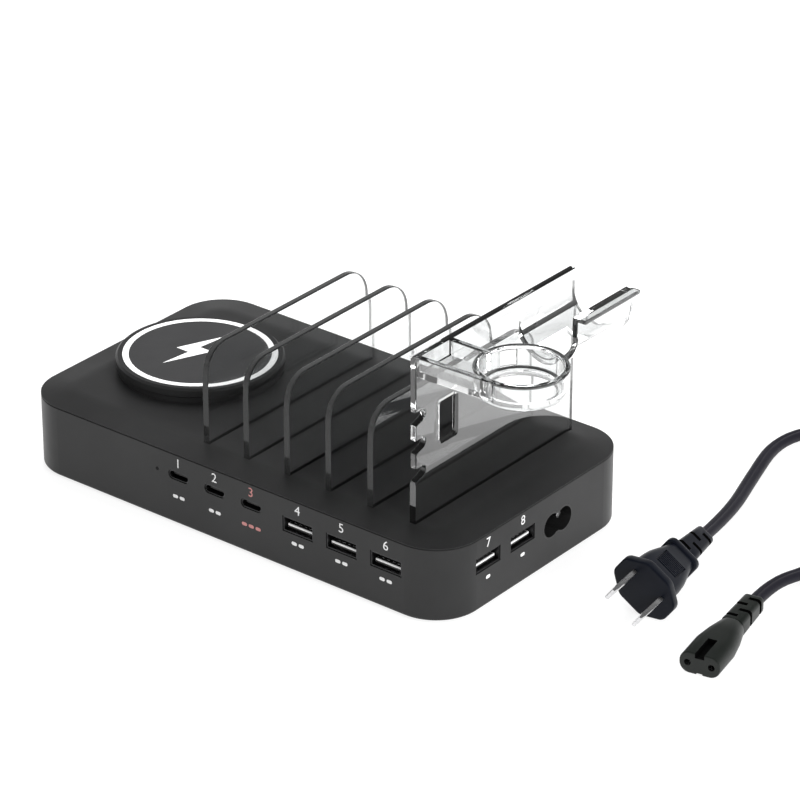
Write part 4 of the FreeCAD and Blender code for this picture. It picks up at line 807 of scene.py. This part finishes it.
CONNECTOR_STATIONS = ((0.0, 14.6, 8.0), (13.0, 14.6, 8.0), (20.0, 12.4, 7.9), (27.0, 9.0, 7.6))
CONNECTOR_ROUND = 3.7
CONNECTOR_RIM = 0.5
CONNECTOR_SEGMENTS = 8
CONNECTOR_BOOT_STATIONS = ((26.8, 8.0, 6.8), (46.0, 7.4, 6.0))
TOP_GROOVE = (3.4, 22.0, 3.6)
FOOT_GROOVE = (2.4, 26.0, 1.4)
GROOVE_LEVEL = 4.0
HOLE_SPACING = 8.6
HOLE_CUT = 2.0
HOOD = 0.35
SLEEVE_BORE = 1.2
SLEEVE_ROOM = 1.7
SLEEVE_DEEP = 11.7
SLEEVE_SEGMENTS = 32


def drill(radius, length, middle):
    """A rod along Y in mm about its middle."""
    shape = rod(radius, length, SLEEVE_SEGMENTS)
    turn_shape(shape, math.pi / 2, "X")
    move_shape(shape, middle)
    return shape


def make_connector(materials):
    """The figure-eight connector with its two hooded holes, its grooves and its boot; the grooves and
    holes are lined with black painted shade.
    """
    slot = "connector_plastic"
    cutters = [
        block(TOP_GROOVE, (0, 0, GROOVE_LEVEL)),
        block(FOOT_GROOVE, (0, 0, -GROOVE_LEVEL)),
    ]
    for side in (-1, 1):
        x = side * HOLE_SPACING / 2
        cutters.append(drill(SLEEVE_BORE, HOLE_CUT, (x, 0, 0)))
        cutters.append(drill(SLEEVE_ROOM, SLEEVE_DEEP, (x, HOOD + SLEEVE_DEEP / 2, 0)))
    for cutter in cutters:
        mark(cutter.faces, PAINTED_SHADE_RECESS)
    finishes = (materials[slot], materials["recess_painted_shade"])
    body = bar(CONNECTOR_STATIONS, CONNECTOR_ROUND, CONNECTOR_RIM, CONNECTOR_SEGMENTS)
    mesh = carve(body, cutters, finishes=finishes)
    shell = stand("connector_shell", settle(mesh, CONNECTOR_PLACE), None)
    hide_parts("connector_body")
    boot = make_boot(
        "connector_relief", CONNECTOR_BOOT_STATIONS, CONNECTOR_PLACE, finishes, "connector_boot"
    )
    return [shell, boot]


def make_lead(materials):
    cord, path = make_cord(materials["cord_jacket"])
    tie = make_tie(materials["cord_tie"])
    fittings = make_plug(materials) + make_connector(materials)
    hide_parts("cord_connector_run", "cord_coil", "cord_plug_run")
    for lain in (cord, tie):
        lain.visible_glossy = False


# Clear holder


SHEET_RIM = 0.4
ALONG_X = 0.5
FOOT_ZONE = 1.0
TOP_ZONE = 1.0
TOP_FACING = 0.7
SLANT = 0.1
HOLDER_X = 74.0
HOLDER_THICK = 2.5
HOLDER_FACE = HOLDER_X + HOLDER_THICK / 2
HOLDER_FRONT = -42.4
HOLDER_BACK = 45.8
HOLDER_LOW = 24.1
HOLDER_TOP = 92.7
SLOT_MOUTH = 30.5
NOTCH_COUNT = 3
NOTCH_FIRST = 45.9
NOTCH_PITCH = 10.6
NOTCH_HEIGHT = 4.7
NOTCH_DEPTH = 5.2
NOTCH_RISE = 1.6
NOTCH_ROUND = 1.4
NOTCH_MOUTH_ROUND = 0.6
NOTCH_MARGIN = 0.3
NOTCH_FACING = 0.3
WINDOW_MIDDLE = (-24.6, 63.0)
WINDOW_SIZE = (9.2, 15.0)
WINDOW_ROUND = 1.2
WINDOW_FLARE = 0.6
ARM_FRONT = -40.95
ARM_SPLAY = 0.95
ARM_BACK = -22.5
ARM_LOW = 85.1
ARM_WALL = 2.2
ARM_FLOOR = 1.8
ARM_ROOT = 0.5
ARM_TOP_ROUND = 0.6
ARM_FOOT_ROUND = 0.5
ARM_BORE_ROOM = 0.6
ARM_OVERCUT = 2.0
RING_MIDDLE = (105.4, -24.75)
RING_BORE = 13.9
RING_OUTER = 15.2
RING_FLANGE = 16.2
RING_LOW = 82.5
RING_LEDGE = 85.3
RING_EYE = 12.2
RING_EYE_ROUND = 0.4
RING_FOOT_ROUND = 2.0
RING_INNER_ROUND = 0.3
RING_STEPS = 96
FLANGE_LOW = 91.4
FLANGE_ROUND = 0.6
FLANGE_FOOT = 0.1
CABLE_SLOT = 6.0
CABLE_SLOT_TURN = math.radians(145.0)
CRADLE_MIDDLE = (86.45, 85.5)
CRADLE_FRONT = 14.0
CRADLE_INNER = 11.22
CRADLE_WALL = 2.18
CRADLE_OVERLAP = 0.2
CRADLE_STEPS = 48
CRADLE_LIP = 3.2
CRADLE_LIP_THICK = 1.6
CRADLE_LIP_ROUND = 0.6
CRADLE_LIP_FACING = 0.4
CRADLE_HOLE = (12.0, 16.7)
CRADLE_HOLE_INSET = 3.8
CRADLE_HOLE_CUT = 20.0


def plate_outline():
    """The holder plate's corners in Y and Z, with the cable notches in its front edge."""
    inner = HOLDER_FRONT + NOTCH_DEPTH
    corners = [(HOLDER_FRONT, HOLDER_LOW)]
    for i in range(NOTCH_COUNT):
        low = NOTCH_FIRST + i * NOTCH_PITCH
        high = low + NOTCH_HEIGHT
        corners += [(HOLDER_FRONT, low), (inner, low + NOTCH_RISE), (inner, high), (HOLDER_FRONT, high)]
    corners += [(HOLDER_FRONT, HOLDER_TOP), (HOLDER_BACK, HOLDER_TOP), (HOLDER_BACK, HOLDER_LOW)]
    return corners


def extruded(corners, start, long):
    """A solid of an outline in Y and Z, drawn out along X."""
    shape = bmesh.new()
    shape.faces.new([shape.verts.new((start, y, z)) for y, z in corners])
    thickened(shape, (long, 0, 0))
    bmesh.ops.recalc_face_normals(shape, faces=shape.faces)
    return shape


def edges_along_x(shape, test):
    """Edges along X whose Y and Z pass a test."""
    found = []
    for edge in shape.edges:
        first, second = (vert.co for vert in edge.verts)
        if abs(first.x - second.x) > ALONG_X and test(first.y, first.z):
            found.append(edge)
    return found


def holder_plate():
    """The upright sheet, with dark painted shade on its rims, notch walls and top, and a lighter grey
    painted shade on its top between the arm's walls.
    """
    shape = extruded(plate_outline(), HOLDER_X - HOLDER_THICK / 2, HOLDER_THICK)
    inner = HOLDER_FRONT + NOTCH_DEPTH
    ends = edges_along_x(shape, lambda y, z: abs(y - inner) < TOUCH)
    round_edges(shape, ends, NOTCH_ROUND, ROUND_SEGMENTS)
    mouths = edges_along_x(shape, at_notch_mouth)
    round_edges(shape, mouths, NOTCH_MOUTH_ROUND, EASED_SEGMENTS)
    soften_rims(shape, HOLDER_LOW + FOOT_ZONE)
    mark((face for face in shape.faces if is_notch_wall(face) or is_plate_top(face)), PAINTED_SHADE_RIM)
    in_wall = (0, ARM_BACK - ARM_WALL / 2, 0)
    everything = [*shape.verts, *shape.edges, *shape.faces]
    bmesh.ops.bisect_plane(shape, geom=everything, plane_co=in_wall, plane_no=(0, 1, 0))
    mark((face for face in shape.faces if is_plate_top(face) and in_arm(face)), PAINTED_SHADE_EDGE)
    return shape


def at_notch_mouth(y, z):
    return abs(y - HOLDER_FRONT) < TOUCH and SLOT_MOUTH < z < HOLDER_TOP - TOP_ZONE


def soften_rims(shape, above):
    """Rounds the rims on both faces of a sheet, where they stand above a level, and gives the rounding
    a dark painted shade.
    """
    rims = []
    for edge in shape.edges:
        flat = abs(edge.verts[0].co.x - edge.verts[1].co.x) < TOUCH
        if flat and min(vert.co.z for vert in edge.verts) > above:
            rims.append(edge)
    mark(round_edges(shape, rims, SHEET_RIM, RIM_SEGMENTS), PAINTED_SHADE_RIM)


# Mask of the notch walls, which get dark painted shade.
def is_notch_wall(face):
    middle = face.calc_center_median()
    inward = middle.y - HOLDER_FRONT - NOTCH_MARGIN
    upright = abs(face.normal.x) < NOTCH_FACING
    return 0 < inward < NOTCH_DEPTH and upright and middle.z < HOLDER_TOP - TOP_ZONE


def in_arm(face):
    return ARM_FRONT + ARM_WALL < face.calc_center_median().y < ARM_BACK


# Mask of the sheet's top, which gets dark painted shade, and a lighter grey one between the arm's
# walls.
def is_plate_top(face):
    return face.normal.z > TOP_FACING and face.calc_center_median().z > HOLDER_TOP - TOP_ZONE


def holder_arm(finishes):
    """The channel that carries the watch ring, with its walls rounded on top; those roundings have dark
    painted shade, and the inner rounding of the front wall has a lighter grey painted shade.
    """
    inner_front = ARM_FRONT + ARM_WALL
    inner_back = ARM_BACK - ARM_WALL
    floor = ARM_LOW + ARM_FLOOR
    corners = [
        (ARM_FRONT, ARM_LOW), (ARM_BACK, ARM_LOW), (ARM_BACK, HOLDER_TOP), (inner_back, HOLDER_TOP),
        (inner_back, floor), (inner_front, floor), (inner_front, HOLDER_TOP), (ARM_FRONT, HOLDER_TOP),
    ]
    start = HOLDER_FACE - ARM_ROOT
    shape = extruded(corners, start, RING_MIDDLE[0] - start)
    root = [vert for vert in shape.verts if vert.co.x < HOLDER_FACE and vert.co.y < inner_front + TOUCH]
    bmesh.ops.translate(shape, vec=(0, -ARM_SPLAY, 0), verts=root)
    tops = edges_along_x(shape, lambda y, z: z > HOLDER_TOP - TOUCH)
    mark(round_edges(shape, tops, ARM_TOP_ROUND, ROUND_SEGMENTS), PAINTED_SHADE_RIM)
    mark((face for face in shape.faces if is_plate_top(face)), PAINTED_SHADE_RIM)
    mark((face for face in shape.faces if is_inner_top(face)), PAINTED_SHADE_EDGE)
    feet = edges_along_x(shape, lambda y, z: z < ARM_LOW + TOUCH)
    round_edges(shape, feet, ARM_FOOT_ROUND, RIM_SEGMENTS)
    tall = HOLDER_TOP - ARM_LOW + 2 * ARM_OVERCUT
    bore = rod(RING_BORE + ARM_BORE_ROOM, tall, RING_STEPS)
    move_shape(bore, (*RING_MIDDLE, (ARM_LOW + HOLDER_TOP) / 2))
    return shape_of(carve(shape, [bore], finishes=finishes))


def is_inner_top(face):
    """True on the inner rounding of the arm's front wall, which gets a lighter grey painted shade."""
    middle = face.calc_center_median()
    in_front = middle.y < (ARM_FRONT + ARM_BACK) / 2
    slanted = face.normal.y > SLANT and face.normal.z > SLANT
    return in_front and slanted and middle.z > HOLDER_TOP - TOP_ZONE


def holder_ring():
    """The watch ring: a cup with an open foot, a ledge inside and a rounded flange round its rim, with
    dark painted shade on the flange's outer rim and a lighter grey painted shade on its inner rounding.
    """
    rounded = [
        (RING_EYE, RING_LOW, RING_EYE_ROUND),
        (RING_OUTER, RING_LOW, RING_FOOT_ROUND),
        (RING_OUTER, FLANGE_LOW, RING_INNER_ROUND),
        (RING_FLANGE, FLANGE_LOW, FLANGE_ROUND),
        (RING_FLANGE, HOLDER_TOP, FLANGE_ROUND),
        (RING_BORE, HOLDER_TOP, FLANGE_ROUND),
        (RING_BORE, RING_LEDGE, RING_INNER_ROUND),
        (RING_EYE, RING_LEDGE, RING_INNER_ROUND),
    ]
    shape = bmesh.new()
    verts = [shape.verts.new((radius, 0, z)) for radius, z, size in rounded]
    shape.faces.new(verts)
    for vert, (radius, z, size) in zip(verts, rounded):
        bmesh.ops.bevel(
            shape, geom=[vert], offset=size, offset_type="OFFSET", segments=ROUND_SEGMENTS,
            profile=0.5, affect="VERTICES", material=-1,
        )
    bmesh.ops.delete(shape, geom=list(shape.faces), context="FACES_ONLY")
    bmesh.ops.spin(
        shape, geom=shape.verts[:] + shape.edges[:], cent=(0, 0, 0), axis=(0, 0, 1),
        angle=2 * math.pi, steps=RING_STEPS, use_merge=True,
    )
    bmesh.ops.remove_doubles(shape, verts=shape.verts, dist=0.001)
    bmesh.ops.recalc_face_normals(shape, faces=shape.faces)
    mark((face for face in shape.faces if is_flange_rim(face)), PAINTED_SHADE_RIM)
    mark((face for face in shape.faces if is_flange_top(face)), PAINTED_SHADE_EDGE)
    move_shape(shape, (*RING_MIDDLE, 0))
    return shape


# Mask of the flange's outer rim, which gets dark painted shade.
def is_flange_rim(face):
    middle = face.calc_center_median()
    return middle.xy.length > RING_BORE + FLANGE_ROUND and middle.z > FLANGE_LOW + FLANGE_FOOT


def is_flange_top(face):
    """True on the inner rounding of the flange, which gets a lighter grey painted shade."""
    middle = face.calc_center_median()
    return middle.xy.length < RING_BORE + FLANGE_ROUND and middle.z > HOLDER_TOP - FLANGE_ROUND


def holder_cradle():
    """The half tube that holds the earbud case, with the straight wall and lip on its free side; its
    rounded rims and the lip's outer faces have dark painted shade.
    """
    long = HOLDER_BACK - CRADLE_FRONT
    outer = CRADLE_INNER + CRADLE_WALL
    rise = HOLDER_TOP - CRADLE_MIDDLE[1]
    trough = bmesh.new()
    ends = [trough.verts.new((-radius, 0, 0)) for radius in (CRADLE_INNER, outer)]
    edge = trough.edges.new(ends)
    bmesh.ops.spin(
        trough, geom=[*ends, edge], cent=(0, 0, 0), axis=(0, 1, 0),
        angle=-math.pi, steps=CRADLE_STEPS,
    )
    thickened(trough, (0, long, 0))
    bmesh.ops.recalc_face_normals(trough, faces=trough.faces)
    rims = [edge for edge in trough.edges if lies_at(edge, (0.0, long)) and is_sharp(edge)]
    mark(round_edges(trough, rims, SHEET_RIM, RIM_SEGMENTS), PAINTED_SHADE_RIM)
    wall_middle = (CRADLE_INNER + CRADLE_WALL / 2, long / 2, (rise - CRADLE_OVERLAP) / 2)
    wall = block((CRADLE_WALL, long, rise + CRADLE_OVERLAP), wall_middle)
    reach = CRADLE_WALL + CRADLE_LIP
    lip_middle = (CRADLE_INNER + reach / 2, long / 2, rise - CRADLE_LIP_THICK / 2)
    lip = block((reach, long, CRADLE_LIP_THICK), lip_middle, CRADLE_LIP_ROUND)
    mark((face for face in lip.faces if face.normal.x > CRADLE_LIP_FACING), PAINTED_SHADE_RIM)
    shapes = (trough, wall, lip)
    for shape in shapes:
        move_shape(shape, (CRADLE_MIDDLE[0], CRADLE_FRONT, CRADLE_MIDDLE[1]))
    return shapes


def is_sharp(edge):
    return len(edge.link_faces) == 2 and edge.calc_face_angle() > RIM_ANGLE


def window_cutter():
    """Cuts the window, flared at both faces of the sheet so that its rims are eased."""
    shape = block((HOLDER_THICK - 2 * WINDOW_FLARE, *WINDOW_SIZE), (0, 0, 0))
    round_edges(shape, edges_along_x(shape, lambda y, z: True), WINDOW_ROUND, ROUND_SEGMENTS)
    wide, tall = WINDOW_SIZE
    grown = (1.0, 1 + 2 * WINDOW_FLARE / wide, 1 + 2 * WINDOW_FLARE / tall)
    for side in (-1, 1):
        face = max(shape.faces, key=lambda face: side * face.calc_center_median().x)
        for reach, growth in ((WINDOW_FLARE, grown), (HOLDER_THICK, (1.0, 1.0, 1.0))):
            face = drawn_out(shape, face)
            bmesh.ops.scale(shape, vec=growth, verts=face.verts)
            bmesh.ops.translate(shape, vec=(side * reach, 0, 0), verts=face.verts)
    move_shape(shape, (HOLDER_X, *WINDOW_MIDDLE))
    return shape


def holder_openings():
    """The window, the cable slot in the ring and the hole under the cradle; the cable slot's side walls
    get dark painted shade.
    """
    tall = FLANGE_LOW - RING_LEDGE
    slot = block((2 * RING_BORE, CABLE_SLOT, tall), (RING_BORE, 0, RING_LEDGE + tall / 2))
    mark((face for face in slot.faces if abs(face.normal.y) > FACING), PAINTED_SHADE_RIM)
    turn_shape(slot, CABLE_SLOT_TURN, "Z")
    move_shape(slot, (*RING_MIDDLE, 0))
    wide, long = CRADLE_HOLE
    y = CRADLE_FRONT + CRADLE_HOLE_INSET + long / 2
    middle = (CRADLE_MIDDLE[0], y, CRADLE_MIDDLE[1] - CRADLE_HOLE_CUT / 2)
    hole = block((wide, long, CRADLE_HOLE_CUT), middle)
    return [window_cutter(), slot, hole]


def make_holder(materials):
    finishes = [materials[name] for name in ("holder_acrylic", "holder_rim_painted_shade", "holder_edge_painted_shade")]
    parts = [holder_arm(finishes), holder_ring(), *holder_cradle()]
    mesh = carve(holder_plate(), holder_openings(), parts, finishes)
    holder = stand("clear_holder", settle(mesh), None, "device_holder_plate")
    even_shading(holder)
    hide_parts("device_holder")


def even_shading(sheet):
    """Keeps a sheet's broad faces flat up to their rounded rims."""
    even = sheet.modifiers.new("even_shading", "WEIGHTED_NORMAL")
    even.weight = 100
    even.keep_sharp = True


# Clear dividers


DIVIDER_COUNT = 5
SHADELESS_DIVIDERS = 2
DIVIDER_FRONT_ROUND = 10.0
DIVIDER_BACK_ROUND = 12.0
DIVIDER_SEGMENTS = 12
DIVIDER_EDGEWISE = 0.1


def make_dividers(materials):
    """The clear sheets that stand in their slots, rounded on top, with dark painted shade along their
    rims and edges and a darker painted shade on the edges that face the front.
    """
    finish_names = ("clear_acrylic", "divider_rim_painted_shade", "divider_edge", "divider_front_painted_shade")
    for number in range(1, DIVIDER_COUNT + 1):
        low, high = (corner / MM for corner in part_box(f"divider_{number}"))
        corners = [(low.y, low.z), (low.y, high.z), (high.y, high.z), (high.y, low.z)]
        shape = extruded(corners, low.x, high.x - low.x)
        middle = (low.y + high.y) / 2
        top = edges_along_x(shape, lambda y, z: z > SLOT_MOUTH and y < middle)
        round_edges(shape, top, DIVIDER_FRONT_ROUND, DIVIDER_SEGMENTS)
        top = edges_along_x(shape, lambda y, z: z > high.z - TOUCH and y > high.y - TOUCH)
        round_edges(shape, top, DIVIDER_BACK_ROUND, DIVIDER_SEGMENTS)
        soften_rims(shape, low.z + FOOT_ZONE)
        # Edge faces get painted shade, and those facing the front get a darker painted shade.
        mark((face for face in shape.faces if abs(face.normal.x) < DIVIDER_EDGEWISE), PAINTED_SHADE_EDGE)
        mark((face for face in shape.faces if face.normal.y < -FACING), PAINTED_SHADE_FRONT)
        mesh = settle(as_mesh("sheet", shape))
        for name in finish_names:
            mesh.materials.append(materials[name])
        sheet = stand(f"clear_divider_{number}", mesh, None, f"divider_{number}_plate")
        even_shading(sheet)
        sheet.visible_shadow = number > SHADELESS_DIVIDERS
        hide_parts(f"divider_{number}")


# Socket contacts


USB_A_COUNT = 5
TONGUE_DROP = 1.1
TONGUE_TALL = 1.3
TONGUE_BACK = 1.3
SHADE_SHEET_WIDE = 10.7
SHADE_SHEET_THICK = 0.12
SHADE_SHEET_SHIFT = 0.05
SHADE_SHEET_ROUND = 0.04
SHADE_SHEET_SHORTER = 3.2
SHADOW_STRIP_WIDE = 10.9
SHADOW_STRIP_TALL = 0.6
CONTACT_LIP = 0.35
CONTACT_COUNT = 4
CONTACT_PITCH = 2.3
CONTACT_WIDE = 1.1
CONTACT_THICK = 0.14
CONTACT_SHORTER = 1.0
CONTACT_INWARD = 0.4
CONTACT_RISE = 0.13
CONTACT_ROUND = 0.05


def make_contacts(materials):
    """A black sheet of painted shade on each USB-A tongue and a strip of painted shadow under its front
    edge, with its four contact strips.
    """
    shade_sheets, strips = [], []
    for number in range(1, USB_A_COUNT + 1):
        place, deep = socket_mouth(f"usb_a_shell_{number}")
        start = TONGUE_BACK + CONTACT_LIP
        long = deep - start - SHADE_SHEET_SHORTER
        y = start + long / 2
        level = TONGUE_TALL / 2 - TONGUE_DROP
        # A black sheet of painted shade over the tongue's face, and a painted shadow strip under its
        # front edge.
        shade_sheet = block((SHADE_SHEET_WIDE, long, SHADE_SHEET_THICK), (0, y, level + SHADE_SHEET_SHIFT), SHADE_SHEET_ROUND)
        shadow_strip_middle = (0, TONGUE_BACK - SHADE_SHEET_SHIFT, level - TONGUE_TALL + SHADOW_STRIP_TALL / 2)
        shadow_strip = block((SHADOW_STRIP_WIDE, SHADE_SHEET_THICK, SHADOW_STRIP_TALL), shadow_strip_middle, SHADE_SHEET_ROUND)
        for part in (shade_sheet, shadow_strip):
            bmesh.ops.transform(part, matrix=place, verts=part.verts)
            shade_sheets.append(part)
        size = (CONTACT_WIDE, long - CONTACT_SHORTER, CONTACT_THICK)
        for i in range(CONTACT_COUNT):
            x = (i - (CONTACT_COUNT - 1) / 2) * CONTACT_PITCH
            strip = block(size, (x, y + CONTACT_INWARD, level + CONTACT_RISE), CONTACT_ROUND)
            bmesh.ops.transform(strip, matrix=place, verts=strip.verts)
            strips.append(strip)
    # The tongue_dark finish here paints the shade inside the socket mouths.
    piece("usb_a_painted_shade", joined(shade_sheets), materials["tongue_dark"])
    piece("usb_a_contacts", joined(strips), materials["contact_metal"])


def on_right_face(node):
    """True for a socket in the casing's right face, and False for one in its front."""
    low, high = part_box(node)
    return high.x > CASING_HIGH.x - 2 * MM


def socket_mouth(node):
    """The frame at the middle of a socket's mouth, in mm with +Y going in, and the socket's depth."""
    low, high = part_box(node)
    middle = (low + high) / 2
    if on_right_face(node):
        turn = Matrix.Rotation(math.pi / 2, 4, "Z")
        spot, deep = Vector((high.x, middle.y, middle.z)), high.x - low.x
    else:
        turn = Matrix.Identity(4)
        spot, deep = Vector((middle.x, low.y, middle.z)), high.y - low.y
    return Matrix.Translation(spot) @ turn @ Matrix.Scale(MM, 4), deep / MM


# Printed marks beside the sockets


USB_C_COUNT = 3
SOCKET_BARS = (2, 2, 3, 2, 2, 2, 1, 1)
RED_BARS = 3
NUMBER_SIZE = 5.0
NUMBER_HEIGHT = 25.0
NUMBER_THICK = 0.03
BARS_HEIGHT = 11.8
BAR_LONG = 2.3
BAR_TALL = 1.3
BAR_THICK = 0.06
BAR_PITCH = 3.1
BAR_ROUND = 0.45 * BAR_TALL


def number_mesh(text):
    words = bpy.data.curves.new("number", "FONT")
    words.body = text
    words.size = NUMBER_SIZE * MM
    words.align_x = "CENTER"
    words.align_y = "CENTER"
    words.extrude = NUMBER_THICK * MM
    made = bpy.data.objects.new("number", words)
    scene.collection.objects.link(made)
    mesh = mesh_of(made)
    bpy.data.objects.remove(made)
    return mesh


def bars_mesh(count):
    """A short row of printed bars with rounded ends, drawn flat in X and Y."""
    stations = ((0.0, BAR_LONG, BAR_TALL), (BAR_THICK, BAR_LONG, BAR_TALL))
    bars = []
    for i in range(count):
        dash = bar(stations, BAR_ROUND, segments=4)
        move_shape(dash, ((i - (count - 1) / 2) * BAR_PITCH, -BAR_THICK / 2, 0))
        bars.append(dash)
    row = joined(bars)
    bmesh.ops.recalc_face_normals(row, faces=row.faces)
    return settle(as_mesh("bars", row), Matrix.Rotation(-math.pi / 2, 4, "X"))


def face_place(node, height):
    """The frame of a mark on the casing's face, above or below a socket."""
    low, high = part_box(node)
    middle = (low + high) / 2
    upright = Matrix.Rotation(math.pi / 2, 4, "X")
    if on_right_face(node):
        spot = Vector((CASING_HIGH.x, middle.y, height * MM))
        return Matrix.Translation(spot) @ Matrix.Rotation(math.pi / 2, 4, "Z") @ upright
    spot = Vector((middle.x, CASING_LOW.y, height * MM))
    return Matrix.Translation(spot) @ upright


def make_marks(materials):
    """A plain number over each socket and a row of bars under it."""
    sockets = [f"usb_c_shell_{i}" for i in range(1, USB_C_COUNT + 1)]
    sockets += [f"usb_a_shell_{i}" for i in range(1, USB_A_COUNT + 1)]
    for number, (node, count) in enumerate(zip(sockets, SOCKET_BARS), start=1):
        ink = materials["label_red" if count == RED_BARS else "label_white"]
        digit = number_mesh(str(number))
        digit.transform(face_place(node, NUMBER_HEIGHT))
        stand(f"socket_number_{number}", digit, ink)
        row = bars_mesh(count)
        row.transform(face_place(node, BARS_HEIGHT))
        stand(f"socket_bars_{number}", row, ink)


# Studio


FLOOR_SIZE = 6.0
FLOOR_DROP = 0.1
FLOOR_TONE = 0.8
FLOOR_SEEN_TONE = 0.3
FLOOR_GLOW = 0.82
WORLD_LIGHT = 0.5
WORLD_HIGH = 0.16
WORLD_FADE = (0.1, 0.45)
CLEAR_BOUNCES = 24


def make_floor():
    """A pale floor that shows white to the camera and still takes the object's shadow."""
    shape = bmesh.new()
    bmesh.ops.create_grid(shape, x_segments=1, y_segments=1, size=FLOOR_SIZE)
    mesh = as_mesh("floor", shape)
    floor = bpy.data.objects.new("floor", mesh)
    floor.location.z = -FLOOR_DROP * MM
    scene.collection.objects.link(floor)
    material = bpy.data.materials.new("pale_floor")
    material.use_nodes = True
    tree = material.node_tree
    tree.nodes.clear()
    out = tree.nodes.new("ShaderNodeOutputMaterial")
    matte = tree.nodes.new("ShaderNodeBsdfDiffuse")
    matte.inputs["Color"].default_value = (*grey(FLOOR_TONE), 1.0)
    thin = tree.nodes.new("ShaderNodeBsdfDiffuse")
    thin.inputs["Color"].default_value = (*grey(FLOOR_SEEN_TONE), 1.0)
    glow = tree.nodes.new("ShaderNodeEmission")
    glow.inputs["Strength"].default_value = FLOOR_GLOW
    seen = tree.nodes.new("ShaderNodeAddShader")
    mix = tree.nodes.new("ShaderNodeMixShader")
    tree.links.new(thin.outputs[0], seen.inputs[0])
    tree.links.new(glow.outputs[0], seen.inputs[1])
    rays = tree.nodes.new("ShaderNodeLightPath")
    through = either(tree, rays.outputs["Is Camera Ray"], rays.outputs["Is Glossy Ray"])
    through = either(tree, through, rays.outputs["Is Transmission Ray"])
    tree.links.new(through, mix.inputs["Fac"])
    tree.links.new(matte.outputs[0], mix.inputs[1])
    tree.links.new(seen.outputs[0], mix.inputs[2])
    tree.links.new(mix.outputs[0], out.inputs["Surface"])
    mesh.materials.append(material)


def either(tree, first, second):
    """1 where one of two ray tests is 1."""
    larger = tree.nodes.new("ShaderNodeMath")
    larger.operation = "MAXIMUM"
    tree.links.new(first, larger.inputs[0])
    tree.links.new(second, larger.inputs[1])
    return larger.outputs[0]


def make_world():
    """White to the camera; mirrors and clear plastic see it white low down and dark overhead."""
    world = bpy.data.worlds.new("studio")
    world.use_nodes = True
    tree = world.node_tree
    shade = tree.nodes["Background"]
    shade.inputs["Color"].default_value = (1.0, 1.0, 1.0, 1.0)
    direction = tree.nodes.new("ShaderNodeTexCoord")
    parts = tree.nodes.new("ShaderNodeSeparateXYZ")
    tree.links.new(direction.outputs["Generated"], parts.inputs["Vector"])
    fade = tree.nodes.new("ShaderNodeMapRange")
    fade.inputs["From Min"].default_value = WORLD_FADE[0]
    fade.inputs["From Max"].default_value = WORLD_FADE[1]
    fade.inputs["To Min"].default_value = 1.0
    fade.inputs["To Max"].default_value = WORLD_HIGH
    tree.links.new(parts.outputs["Z"], fade.inputs["Value"])
    rays = tree.nodes.new("ShaderNodeLightPath")
    mirrored = either(tree, rays.outputs["Is Glossy Ray"], rays.outputs["Is Transmission Ray"])
    bounced = tree.nodes.new("ShaderNodeMix")
    bounced.inputs["A"].default_value = WORLD_LIGHT
    tree.links.new(mirrored, bounced.inputs["Factor"])
    tree.links.new(fade.outputs["Result"], bounced.inputs["B"])
    level = tree.nodes.new("ShaderNodeMix")
    level.inputs["B"].default_value = 1.0
    tree.links.new(rays.outputs["Is Camera Ray"], level.inputs["Factor"])
    tree.links.new(bounced.outputs["Result"], level.inputs["A"])
    tree.links.new(level.outputs["Result"], shade.inputs["Strength"])
    scene.world = world


def soft_light(name, place, size, power):
    lamp = bpy.data.lights.new(name, "AREA")
    lamp.shape = "RECTANGLE"
    lamp.size, lamp.size_y = size
    lamp.energy = power
    made = bpy.data.objects.new(name, lamp)
    made.location = place
    made.rotation_euler = (CAMERA_TARGET - made.location).to_track_quat("-Z", "Y").to_euler()
    made.visible_glossy = False
    made.visible_transmission = False
    scene.collection.objects.link(made)


def make_lights():
    """A wide light on the right and a nearer one over the back left corner, unseen by mirrors."""
    soft_light("side_light", place=(1.2, -0.25, 0.55), size=(0.9, 0.7), power=17.0)
    soft_light("back_light", place=(-0.12, 0.22, 0.42), size=(0.4, 0.4), power=3.1)


make_camera()
materials = make_materials()
make_lead(materials)
dress_solids(materials)
make_holder(materials)
make_dividers(materials)
make_contacts(materials)
make_marks(materials)
make_floor()
make_world()
make_lights()
scene.cycles.max_bounces = CLEAR_BOUNCES
scene.cycles.transmission_bounces = CLEAR_BOUNCES
scene.view_settings.view_transform = "Standard"
